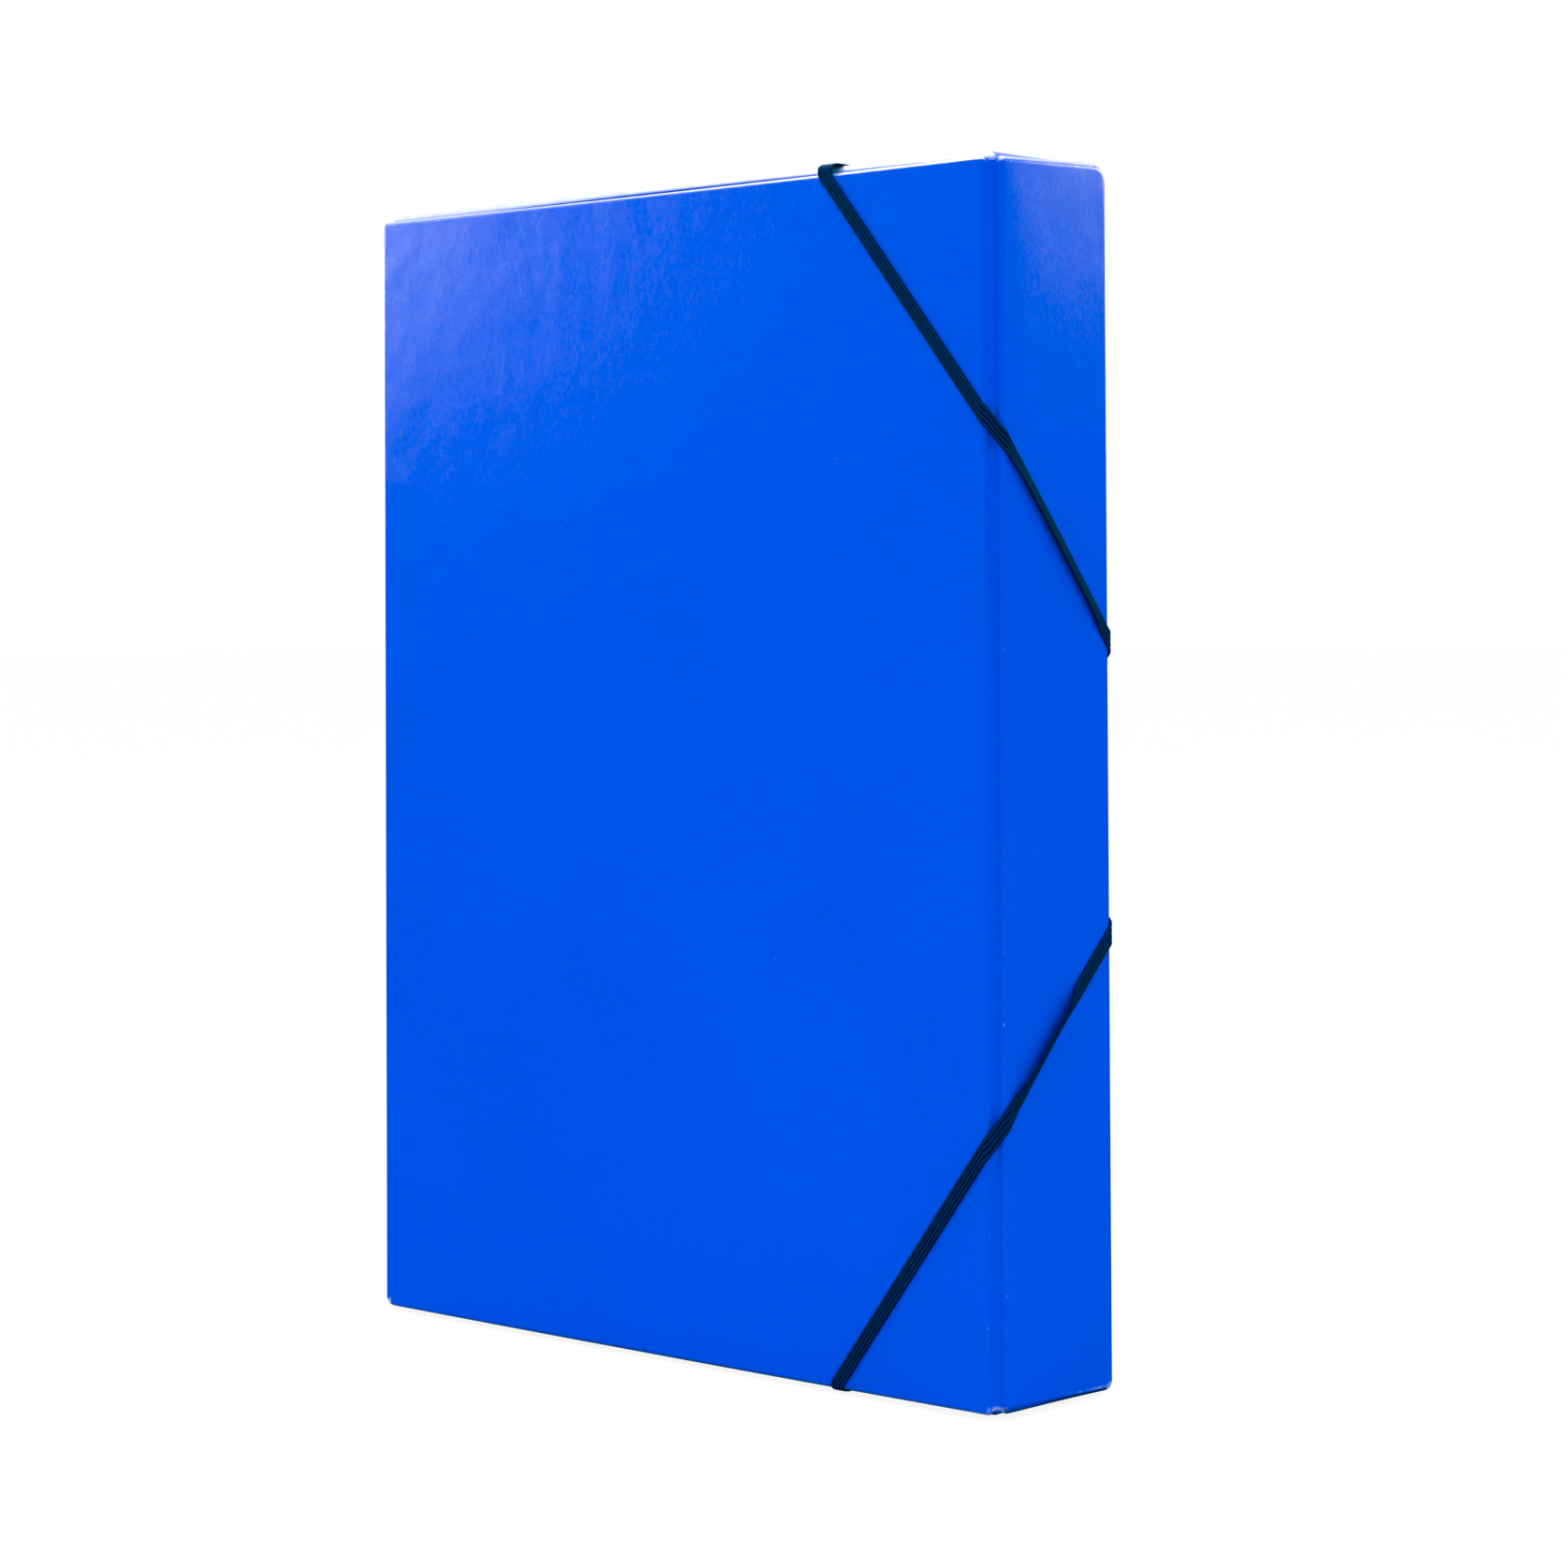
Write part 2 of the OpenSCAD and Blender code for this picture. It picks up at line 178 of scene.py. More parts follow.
def round_grid(ps, qs, radii):
    """Grid points with each corner cell block bent onto a quarter disc, and the normals of the perimeter."""
    p0, p1, q0, q1 = ps[0], ps[-1], qs[0], qs[-1]
    corners = {(0, 0): (p0 + radii[0], q0 + radii[0], radii[0]), (1, 0): (p1 - radii[1], q0 + radii[1], radii[1]),
               (1, 1): (p1 - radii[2], q1 - radii[2], radii[2]), (0, 1): (p0 + radii[3], q1 - radii[3], radii[3])}
    pts, nrm, arc = {}, {}, {}
    for i, p in enumerate(ps):
        for j, q in enumerate(qs):
            pos, n, on_arc = (p, q), (0.0, 0.0), None
            if i == 0: n = (-1.0, 0.0)
            if i == len(ps) - 1: n = (1.0, 0.0)
            if j == 0: n = (0.0, -1.0)
            if j == len(qs) - 1: n = (0.0, 1.0)
            for (sp, sq), (cp, cq, r) in corners.items():
                if r <= 0:
                    continue
                dp = (p - cp) if sp else (cp - p)
                dq = (q - cq) if sq else (cq - q)
                if dp < -1e-9 or dq < -1e-9:
                    continue
                u, v = dp / r, dq / r
                x, y = u * math.sqrt(max(0, 1 - v * v / 2)), v * math.sqrt(max(0, 1 - u * u / 2))
                pos = (cp + (x if sp else -x) * r, cq + (y if sq else -y) * r)
                l = math.hypot(x, y) or 1
                n = ((x if sp else -x) / l, (y if sq else -y) / l)
                on_arc = (sp, sq)
                break
            pts[i, j], nrm[i, j], arc[i, j] = pos, n, on_arc
    return pts, nrm, arc


def perimeter(np_, nq):
    """Grid indices round the edge, with the side that each step belongs to."""
    loop = [(i, 0) for i in range(np_)] + [(np_ - 1, j) for j in range(1, nq)]
    loop += [(i, nq - 1) for i in range(np_ - 2, -1, -1)] + [(0, j) for j in range(nq - 2, 0, -1)]
    side = ["q0"] * (np_ - 1) + ["p1"] * (nq - 1) + ["q1"] * (np_ - 1) + ["p0"] * (nq - 1)
    return loop, side


NEXT_TO = {(0, 0): ("p0", "q0"), (1, 0): ("p1", "q0"), (1, 1): ("p1", "q1"), (0, 1): ("p0", "q1")}


def inside(p, q, holes):
    return any(h[0] < p < h[1] and h[2] < q < h[3] for h in holes)


def cover_sheet(name, rect, radii, wraps, place, warp, mat, outward, holes=(), step=7.0, total=None):
    """Covering paper of a board: outer face, rounded shoulders on every side, wrapped edges and mitred turn-ins on the
    sides named in wraps. rect is the covered outline (p0, p1, q0, q1)."""
    total = total or A + T
    r, r2 = R_EDGE, 0.6
    p0, p1, q0, q1 = rect
    b = (p0 + r, p1 - r, q0 + r, q1 - r)
    rr = [max(x - r, 0.25) for x in radii]
    ps = lines(b[0], b[1], step, [(b[0], b[0] + max(rr[0], rr[3]), 6), (b[1] - max(rr[1], rr[2]), b[1], 6)],
               [h[0] for h in holes] + [h[1] for h in holes])
    qs = lines(b[2], b[3], step, [(b[2], b[2] + max(rr[0], rr[1]), 6), (b[3] - max(rr[2], rr[3]), b[3], 6)],
               [h[2] for h in holes] + [h[3] for h in holes])
    pts, nrm, arc = round_grid(ps, qs, rr)
    verts, faces, idx = [], [], {}

    def add(p, q, n):
        verts.append(place(*warp(p, q, n)))
        return len(verts) - 1

    for key, (p, q) in pts.items():
        idx[key] = add(p, q, 0.0)
    for i in range(len(ps) - 1):
        for j in range(len(qs) - 1):
            if inside((ps[i] + ps[i + 1]) / 2, (qs[j] + qs[j + 1]) / 2, holes):
                continue
            faces.append((idx[i, j], idx[i + 1, j], idx[i + 1, j + 1], idx[i, j + 1]))
    loop, side = perimeter(len(ps), len(qs))
    n = len(loop)
    deep = []
    for k in range(n):
        a0, a1 = arc[loop[k]], arc[loop[(k + 1) % n]]
        near = [s for s in (NEXT_TO[a0] if a0 and a0 == a1 else ())]
        deep.append(side[k] in wraps or any(s in wraps for s in near))
    prof = [(r * math.sin(f) ** 1.3, r * (1 - max(0.0, math.cos(f)) ** 1.3)) for f in np.radians((18, 32, 45, 58, 72, 90))]
    shallow = len(prof)
    prof += [(r, total / 2), (r, total - r2)]
    prof += [(r - r2 + r2 * math.cos(f), total - r2 + r2 * math.sin(f)) for f in np.radians((22, 45, 68, 90))]
    prof += [(r - 2.2, total), (r - 5, total), (r - 9, total), (r - TURN, total)]
    wp, wq = {0: "p0" in wraps, 1: "p1" in wraps}, {0: "q0" in wraps, 1: "q1" in wraps}
    edge = [0.0] * len(verts)
    prev = [idx[l] for l in loop]
    for ring, (o, depth) in enumerate(prof):
        cur = []
        d = r - o
        for l in loop:
            (p, q), (a, c) = pts[l], nrm[l]
            if o >= 0:
                p, q = p + a * o, q + c * o
            else:
                if wp[1 if a > 0 else 0]: p += a * o
                if wq[1 if c > 0 else 0]: q += c * o
            if d > 0.01 and ring >= shallow:
                if wp[0]: p = max(p, p0 + d)
                if wp[1]: p = min(p, p1 - d)
                if wq[0]: q = max(q, q0 + d)
                if wq[1]: q = min(q, q1 - d)
            cur.append(add(p, q, depth))
            edge.append(1.0 if 1 <= ring <= 4 else 0.0)
        for k in range(n):
            if ring < shallow + 7 or deep[k]:
                faces.append((prev[k], cur[k], cur[(k + 1) % n], prev[(k + 1) % n]))
        prev = cur
    used = {v for f in faces for v in f}
    remap = {}
    keep, mark = [], []
    for v in sorted(used):
        remap[v] = len(keep)
        keep.append(verts[v])
        mark.append((edge[v], 0.0, 0.0))
    faces = [tuple(remap[v] for v in f) for f in faces]
    ob = to_object(name, keep, faces, mat, outward=outward, coords=mark)
    return remember(thicken(ob, T))


def slab(name, rect, radii, n0, n1, place, warp, mat, r=0.97, holes=(), step=10.0, depth=None, smooth=40.0, zones_p=(), zones_q=()):
    """Closed board or sheet with rounded edges, from depth n0 to n1. depth(p, q) may lift both faces."""
    p0, p1, q0, q1 = rect
    r = min(r, (n1 - n0) / 2 * 0.98)
    b = (p0 + r, p1 - r, q0 + r, q1 - r)
    rr = [max(x - r, 0.1) for x in radii]
    ps = lines(b[0], b[1], step, [(b[0], b[0] + max(rr[0], rr[3]), 5), (b[1] - max(rr[1], rr[2]), b[1], 5)] + list(zones_p),
               [h[0] for h in holes] + [h[1] for h in holes])
    qs = lines(b[2], b[3], step, [(b[2], b[2] + max(rr[0], rr[1]), 5), (b[3] - max(rr[2], rr[3]), b[3], 5)] + list(zones_q),
               [h[2] for h in holes] + [h[3] for h in holes])
    pts, nrm, _ = round_grid(ps, qs, rr)
    lift = depth or (lambda p, q: 0.0)
    verts, faces = [], []

    def add(p, q, n):
        verts.append(place(*warp(p, q, n + lift(p, q))))
        return len(verts) - 1

    front = {k: add(p, q, n0) for k, (p, q) in pts.items()}
    back = {k: add(p, q, n1) for k, (p, q) in pts.items()}
    solid = {}
    for i in range(len(ps) - 1):
        for j in range(len(qs) - 1):
            solid[i, j] = not inside((ps[i] + ps[i + 1]) / 2, (qs[j] + qs[j + 1]) / 2, holes)
            if solid[i, j]:
                quad = [(i, j), (i + 1, j), (i + 1, j + 1), (i, j + 1)]
                faces.append([front[k] for k in quad])
                faces.append([back[k] for k in reversed(quad)])
    for (i, j), s in solid.items():
        if s:
            continue
        for di, dj, e in ((-1, 0, ((i, j), (i, j + 1))), (1, 0, ((i + 1, j), (i + 1, j + 1))),
                          (0, -1, ((i, j), (i + 1, j))), (0, 1, ((i, j + 1), (i + 1, j + 1)))):
            if solid.get((i + di, j + dj), False):
                faces.append([front[e[0]], front[e[1]], back[e[1]], back[e[0]]])
    loop, _ = perimeter(len(ps), len(qs))
    n = len(loop)
    prof = [(r * math.sin(f) ** 1.4, n0 + r * (1 - max(0.0, math.cos(f)) ** 1.4)) for f in np.radians((25, 45, 65, 90))]
    prof += [(r * math.cos(f) ** 1.4, n1 - r + r * math.sin(f) ** 1.4) for f in np.radians((0, 25, 45, 65))]
    prev = [front[l] for l in loop]
    for o, z in prof:
        cur = [add(pts[l][0] + nrm[l][0] * o, pts[l][1] + nrm[l][1] * o, z) for l in loop]
        for k in range(n):
            faces.append((prev[k], cur[k], cur[(k + 1) % n], prev[(k + 1) % n]))
        prev = cur
    last = [back[l] for l in loop]
    for k in range(n):
        faces.append((prev[k], last[k], last[(k + 1) % n], prev[(k + 1) % n]))
    return remember(to_object(name, verts, faces, mat, smooth=smooth))


def offset_path(path, d):
    """Open 2D polyline moved sideways by d (to its left), mitred."""
    out = []
    for k, (x, y) in enumerate(path):
        a = path[max(k - 1, 0)]
        c = path[min(k + 1, len(path) - 1)]
        seg = []
        if k > 0: seg.append(((x - a[0]), (y - a[1])))
        if k < len(path) - 1: seg.append(((c[0] - x), (c[1] - y)))
        ns = []
        for sx, sy in seg:
            l = math.hypot(sx, sy)
            ns.append((-sy / l, sx / l))
        nx, ny = sum(v[0] for v in ns) / len(ns), sum(v[1] for v in ns) / len(ns)
        l2 = nx * nx + ny * ny
        out.append((x + nx / l2 * d, y + ny / l2 * d))
    return out


def fillet(path, radii):
    """2D polyline with its inner corners rounded."""
    out = [path[0]]
    for k in range(1, len(path) - 1):
        p, a, c, r = np.array(path[k]), np.array(path[k - 1]), np.array(path[k + 1]), radii[k - 1]
        u, v = a - p, c - p
        lu, lv = np.linalg.norm(u), np.linalg.norm(v)
        u, v = u / lu, v / lv
        ang = math.acos(max(-1, min(1, float(u @ v))))
        cut = min(r / math.tan(ang / 2), lu * 0.48, lv * 0.48)
        rad = cut * math.tan(ang / 2)
        s, e = p + u * cut, p + v * cut
        cen = p + (u + v) / np.linalg.norm(u + v) * (rad / math.sin(ang / 2))
        a0, a1 = math.atan2(*(s - cen)[::-1]), math.atan2(*(e - cen)[::-1])
        da = (a1 - a0 + math.pi) % (2 * math.pi) - math.pi
        for f in np.linspace(0, 1, 7):
            out.append((float(cen[0] + rad * math.cos(a0 + da * f)), float(cen[1] + rad * math.sin(a0 + da * f))))
    out.append(path[-1])
    return out


def smooth01(t):
    t = max(0.0, min(1.0, t))
    return t * t * (3 - 2 * t)


def wave(p, q, n, k):
    """Slow hand-made unevenness of a covered board."""
    return 0.10 * noise.noise(Vector((p / 55, q / 80, k))) + 0.035 * noise.noise(Vector((p / 17, q / 22, k + 9)))


# ---------------------------------------------------------------- materials
def nodes_of(name):
    m = bpy.data.materials.new(name)
    m.use_nodes = True
    nt = m.node_tree
    nt.nodes.clear()
    out = nt.nodes.new("ShaderNodeOutputMaterial")
    bs = nt.nodes.new("ShaderNodeBsdfPrincipled")
    nt.links.new(bs.outputs[0], out.inputs[0])
    return m, nt, bs


class Net:
    """Short forms for joining shader nodes."""

    def __init__(self, nt, rest=True):
        self.nt = nt
        if rest:
            n = nt.nodes.new("ShaderNodeAttribute")
            n.attribute_name = "rest"
            self.mm = n.outputs["Vector"]
        else:
            n = nt.nodes.new("ShaderNodeTexCoord")
            s = nt.nodes.new("ShaderNodeVectorMath")
            s.operation = "SCALE"
            s.inputs["Scale"].default_value = 1000.0
            nt.links.new(n.outputs["Object"], s.inputs[0])
            self.mm = s.outputs[0]

    def put(self, sock, v):
        if isinstance(v, bpy.types.NodeSocket):
            self.nt.links.new(v, sock)
        elif v is not None:
            sock.default_value = v

    def scaled(self, v, k):
        n = self.nt.nodes.new("ShaderNodeVectorMath")
        n.operation = "MULTIPLY"
        self.put(n.inputs[0], v)
        n.inputs[1].default_value = k
        return n.outputs[0]

    def noise(self, size, detail=2.0, stretch=(1, 1, 1), rough=0.55, vec=None, seed=0.0):
        n = self.nt.nodes.new("ShaderNodeTexNoise")
        n.noise_dimensions = "4D"
        n.inputs["W"].default_value = seed
        n.inputs["Scale"].default_value = 1.0
        n.inputs["Detail"].default_value = detail
        n.inputs["Roughness"].default_value = rough
        self.put(n.inputs["Vector"], self.scaled(vec or self.mm, tuple(s / size for s in stretch)))
        return n.outputs["Fac"]

    def math(self, op, a, b=None, c=None, clamp=False):
        n = self.nt.nodes.new("ShaderNodeMath")
        n.operation = op
        n.use_clamp = clamp
        self.put(n.inputs[0], a)
        if b is not None: self.put(n.inputs[1], b)
        if c is not None: self.put(n.inputs[2], c)
        return n.outputs[0]

    def ramp(self, v, lo, hi, a=0.0, b=1.0):
        n = self.nt.nodes.new("ShaderNodeMapRange")
        n.interpolation_type = "SMOOTHSTEP"
        self.put(n.inputs["Value"], v)
        for k, x in (("From Min", lo), ("From Max", hi), ("To Min", a), ("To Max", b)):
            n.inputs[k].default_value = x
        return n.outputs[0]

    def mix(self, f, a, b):
        n = self.nt.nodes.new("ShaderNodeMix")
        n.data_type = "RGBA"
        self.put(n.inputs[0], f)
        self.put(n.inputs[6], (*a, 1) if isinstance(a, tuple) and len(a) == 3 else a)
        self.put(n.inputs[7], (*b, 1) if isinstance(b, tuple) and len(b) == 3 else b)
        return n.outputs[2]

    def near(self, place, r0, r1):
        n = self.nt.nodes.new("ShaderNodeVectorMath")
        n.operation = "DISTANCE"
        self.put(n.inputs[0], self.mm)
        n.inputs[1].default_value = place
        return self.ramp(n.outputs["Value"], r0, r1, 1.0, 0.0)

    def axis(self, k):
        n = self.nt.nodes.new("ShaderNodeSeparateXYZ")
        self.put(n.inputs[0], self.mm)
        return n.outputs[k]

    def bump(self, height, dist, strength=1.0, normal=None):
        n = self.nt.nodes.new("ShaderNodeBump")
        n.inputs["Strength"].default_value = strength
        n.inputs["Distance"].default_value = dist * MM
        self.put(n.inputs["Height"], height)
        if normal is not None: self.put(n.inputs["Normal"], normal)
        return n.outputs[0]


COVER_BASE = (0.0, 0.089, 0.945)


def cover_material(name, rest=True):
    m, nt, bs = nodes_of(name)
    k = Net(nt, rest)
    big = k.noise(60, 1)
    small = k.noise(3.2, 3)
    tone = k.math("ADD", k.math("MULTIPLY", big, 0.10), k.math("MULTIPLY", small, 0.05))
    base = k.mix(k.ramp(tone, 0.03, 0.12), tuple(c * 0.965 for c in COVER_BASE), tuple(c * 1.03 for c in COVER_BASE))
    mottle = k.noise(1.35, 3, stretch=(1.0, 1.0, 0.8), rough=0.65, seed=21.0)
    base = k.mix(k.math("MULTIPLY", k.ramp(mottle, 0.36, 0.66), 0.36), base, (0.036, 0.100, 0.95))
    # worn places: corners and the lower end of the fore-edge
    at = nt.nodes.new("ShaderNodeAttribute")
    at.attribute_name = "along"
    sep = nt.nodes.new("ShaderNodeSeparateXYZ")
    nt.links.new(at.outputs["Vector"], sep.inputs[0])
    edge = sep.outputs[0]
    rub = k.math("MULTIPLY", edge, k.ramp(k.noise(2.6, 3, seed=3.1), 0.64, 0.76))
    wear = k.math("MULTIPLY", rub, 0.18)
    spots = (((122.0, -23.2, 1.5), 1.1, 2.5, 0.38), ((124.5, 25.0, 0.9), 0.4, 2.6, 0.50),
             ((124.0, 18.5, 344.4), 0.3, 2.4, 0.58),
             ((-120.0, -25.0, 2.0), 0.4, 2.6, 0.56), ((-123.5, 0.0, 1.7), 2.0, 16.0, 0.60))
    low = k.ramp(k.axis(2), 1.9, 3.0, 1.0, 0.0)
    high = k.ramp(k.axis(2), 341.8, 342.8)
    for place, r0, r1, thr in spots:
        mask = k.near(place, r0, r1)
        if place[2] < 10 and r1 > 4:
            mask = k.math("MULTIPLY", mask, low)
        grit = k.ramp(k.math("ADD", k.noise(1.1, 3, seed=place[0]), k.math("MULTIPLY", mask, 0.16)), thr + 0.05, thr + 0.13)
        wear = k.math("MAXIMUM", wear, k.math("MULTIPLY", mask, grit))
    specks = k.math("MULTIPLY", k.ramp(k.noise(1.3, 0, seed=8.0), 0.86, 0.90), 0.12)
    # the folded rims at the two ends are painted paler: a painted highlight of the overhead light on the rounded rims,
    # full at the top and about a third as strong at the foot
    highlight_ends = k.math("MAXIMUM", k.ramp(k.axis(2), 341.3, 342.6), k.math("MULTIPLY", k.ramp(k.axis(2), 3.6, 2.4, 0.0, 1.0), 0.35))
    painted_rim_highlight = k.math("MULTIPLY", k.math("MULTIPLY", edge, highlight_ends), k.ramp(k.noise(7, 2, seed=12.0), 0.2, 0.6, 0.42, 0.62))
    painted_rim_highlight = k.math("MINIMUM", k.math("ADD", painted_rim_highlight, k.math("MULTIPLY", edge, k.ramp(k.axis(2), 343.2, 344.2, 0.0, 0.25))), 0.9)
    # painted highlight: the rims are mixed towards pale lavender
    base = k.mix(painted_rim_highlight, base, (0.62, 0.70, 1.0))
    # the foot is painted darker: painted shade along the lower edges, most of all under the fore-edge flap
    z, y, side = k.axis(2), k.axis(1), k.ramp(k.axis(0), 121.5, 123.0)
    lid_foot_shade = k.math("MULTIPLY", k.ramp(z, 0.5, 1.9, 1.0, 0.0), 0.85)
    high_up = k.math("ADD", z, k.math("MULTIPLY_ADD", y, 0.0381, -0.537))
    blunt = k.ramp(high_up, -0.1, 2.4, 1.0, 0.0)
    crisp = k.ramp(high_up, 1.4, 1.8, 1.0, 0.0)
    free = k.ramp(y, -14.0, 4.0)
    flap_foot_shade = k.math("MULTIPLY", k.math("ADD", k.math("MULTIPLY", crisp, free), k.math("MULTIPLY", blunt, k.math("SUBTRACT", 1.0, free))), 0.93)
    foot_shade = k.math("ADD", k.math("MULTIPLY", flap_foot_shade, side), k.math("MULTIPLY", lid_foot_shade, k.math("SUBTRACT", 1.0, side)))
    # painted shade: the foot is mixed towards dark navy
    base = k.mix(foot_shade, base, (0.0, 0.010, 0.085))
    scuff = k.math("MULTIPLY", k.math("MULTIPLY", side, k.ramp(y, -2.0, 20.0)), k.math("MULTIPLY", k.ramp(high_up, 1.55, 1.9), k.ramp(high_up, 2.8, 2.2, 0.0, 1.0)))
    scuff = k.math("MULTIPLY", scuff, k.ramp(k.noise(2.2, 3, seed=15.0), 0.40, 0.62, 0.08, 0.42))
    base = k.mix(scuff, base, (0.42, 0.58, 0.95))
    col = k.mix(k.math("MAXIMUM", wear, specks), base, (0.62, 0.66, 0.72))
    k.put(bs.inputs["Base Color"], col)
    fibre = k.noise(1.5, 2, stretch=(1.6, 1.6, 0.45), seed=1.0)
    rough = k.math("ADD", k.math("MULTIPLY", fibre, 0.08), 0.19)
    k.put(bs.inputs["Roughness"], k.math("ADD", rough, k.math("MULTIPLY", wear, 0.5)))
    k.put(bs.inputs["Specular IOR Level"], k.ramp(mottle, 0.28, 0.72, 0.36, 0.62))
    grain = k.noise(0.5, 2, seed=2.0)
    streak = k.noise(1.5, 4, stretch=(1.2, 1.2, 0.8), rough=0.7, seed=4.0)
    slow = k.noise(16, 1, seed=5.0)
    n1 = k.bump(slow, 0.35, 0.6)
    n2 = k.bump(streak, 0.055, 0.9, n1)
    n3 = k.bump(grain, 0.014, 0.9, n2)
    k.put(bs.inputs["Normal"], n3)
    return m


def paper_material(name, rest=True, base=(0.80, 0.79, 0.75)):
    m, nt, bs = nodes_of(name)
    k = Net(nt, rest)
    f = k.noise(0.9, 3, stretch=(1, 1, 0.6))
    b = k.noise(45, 2, seed=2.0)
    col = k.mix(k.ramp(b, 0.3, 0.7), tuple(c * 0.975 for c in base), base)
    col = k.mix(k.math("MULTIPLY", k.ramp(k.noise(1.2, 1, seed=6.0), 0.68, 0.76), 0.35), col, (0.42, 0.38, 0.32))
    k.put(bs.inputs["Base Color"], col)
    k.put(bs.inputs["Roughness"], k.math("ADD", k.math("MULTIPLY", f, 0.2), 0.62))
    bs.inputs["Sheen Weight"].default_value = 0.12
    k.put(bs.inputs["Normal"], k.bump(k.noise(0.6, 3, seed=1.0), 0.03, 0.7, k.bump(k.noise(20, 1), 0.3, 0.5)))
    return m


def board_material(name, rest=True):
    m, nt, bs = nodes_of(name)
    k = Net(nt, rest)
    f = k.noise(1.1, 4, rough=0.65)
    lay = k.noise(0.5, 2, stretch=(0.2, 4, 0.2), seed=3.0)
    col = k.mix(k.ramp(f, 0.3, 0.7), (0.26, 0.245, 0.22), (0.42, 0.40, 0.36))
    col = k.mix(k.ramp(k.noise(0.8, 1, seed=9.0), 0.66, 0.74), col, (0.16, 0.15, 0.16))
    k.put(bs.inputs["Base Color"], col)
    k.put(bs.inputs["Roughness"], 0.9)
    k.put(bs.inputs["Normal"], k.bump(f, 0.08, 0.7, k.bump(lay, 0.05, 0.5)))
    return m


def steel_material(name):
    m, nt, bs = nodes_of(name)
    k = Net(nt, False)
    f = k.noise(0.4, 3, stretch=(0.1, 1, 1))
    k.put(bs.inputs["Base Color"], k.mix(f, (0.50, 0.50, 0.52), (0.66, 0.66, 0.68)))
    bs.inputs["Metallic"].default_value = 1.0
    k.put(bs.inputs["Roughness"], k.math("ADD", k.math("MULTIPLY", f, 0.25), 0.25))
    k.put(bs.inputs["Normal"], k.bump(f, 0.01, 0.6))
    return m


def elastic_material(name):
    m, nt, bs = nodes_of(name)
    k = Net(nt, True)
    at = nt.nodes.new("ShaderNodeAttribute")
    at.attribute_name = "along"
    sep = nt.nodes.new("ShaderNodeSeparateXYZ")
    nt.links.new(at.outputs["Vector"], sep.inputs[0])
    s, w = sep.outputs[0], sep.outputs[1]
    pick = k.math("SINE", k.math("MULTIPLY", s, 2 * math.pi / 0.42))
    cord = k.math("COSINE", k.math("MULTIPLY", k.math("ADD", w, 0.25), math.pi * 4))
    weave = k.math("MULTIPLY", k.math("ADD", pick, 1.0), k.math("ADD", k.math("MULTIPLY", cord, 0.35), 0.65))
    fuzz = k.noise(0.35, 3, seed=2.0)
    dye = k.noise(9, 2, seed=5.0)
    a = k.mix(k.ramp(dye, 0.3, 0.7), (0.0008, 0.0040, 0.040), (0.0012, 0.0060, 0.052))
    # painted highlight: the crests of the ribs and picks are painted lighter, as if catching the light
    rib_crest_highlight = k.math("MULTIPLY", k.ramp(cord, -0.2, 0.95), k.ramp(pick, -0.4, 0.9, 0.45, 1.0))
    col = k.mix(k.math("MULTIPLY", k.math("MULTIPLY", rib_crest_highlight, k.ramp(fuzz, 0.35, 0.62, 0.35, 1.0)), 0.90), a, (0.014, 0.060, 0.20))
    k.put(bs.inputs["Base Color"], col)
    bs.inputs["Roughness"].default_value = 0.62
    bs.inputs["Specular IOR Level"].default_value = 0.05
    bs.inputs["Specular Tint"].default_value = (0.25, 0.42, 1.0, 1)
    bs.inputs["Sheen Weight"].default_value = 0.03
    bs.inputs["Sheen Roughness"].default_value = 0.45
    bs.inputs["Sheen Tint"].default_value = (0.15, 0.35, 1.0, 1)
    n1 = k.bump(weave, 0.05, 0.7)
    k.put(bs.inputs["Normal"], k.bump(fuzz, 0.03, 0.6, n1))
    return m


COVER = cover_material("cover_laminate")
LINING = paper_material("lining_sheet")
BOARD_M = board_material("greyboard_core")
ELASTIC = elastic_material("woven_elastic")

# ---------------------------------------------------------------- panels
LEFT_OUT = 1.1                            # the lid reaches a little further over its spine joint than over the other
LID_RECT = (-120.35 - LEFT_OUT, 120.35, LID_Z0, LID_Z1)
LID_RADII = (3.0, 1.2, 1.1, 1.6)
LID_H = LID_Z1 - LID_Z0


def lid_place(p, q, n): return (p, Y0 + n, q)
def back_place(p, q, n): return (p, Y1 - n, q)
def spine_place(p, q, n): return (X0 + n, p, q)
def flap_place(p, q, n): return (X1 - n, p, q)


def lid_warp(p, q, n):
    mid = max(0.0, 1 - (p / 120.35) ** 2)
    up = smooth01((q - LID_Z1 + 60) / 60)
    down = smooth01((LID_Z0 + 60 - q) / 60)
    foot = 0.55 * smooth01((LID_Z0 + 8 - q) / 7)
    return p, q - 0.33 * mid * up - 0.25 * mid * down - foot, n + wave(p, q, n, 1.0) * mid ** 0.5


def back_warp(p, q, n): return p, q, n + 0.4 * wave(p, q, n, 4.0) - 0.05
def spine_warp(p, q, n): return p, q, n + 0.5 * wave(p, q, n, 6.0) * (1 - (p / 21.15) ** 2)


FQ = (FLAP_Z0 + FLAP_Z1) / 2
FH = (LID_Z1 - LID_Z0) / 2
FP0, FP1 = Y0 + GROOVE, Y1


def flap_bow(f):
    f = max(0.0, min(1.0, f))
    return 0.32 * math.exp(-14 * f) - 0.45 * (1 - (1 - f) ** 3)


def flap_warp(p, q, n):
    f = (p - FP0) / (FP1 - FP0)
    din = FLARE * (1 - 2 * f)
    q2 = FQ + (q - FQ) * (FH - din) / FH - (0.9 + 0.9 * max(0.0, 1 - f) ** 2) * smooth01((FLAP_Z0 + 10 - q) / 8)
    # the hinge-side end is pressed in a little at the very corner
    out = (0.4 + 1.0 * (1 - q / 345.0)) * smooth01(f)
    return p + out, q2, n + flap_bow(f) + 0.7 * wave(p, q, n, 8.0) * smooth01(f * 3) * smooth01((1 - f) * 4)


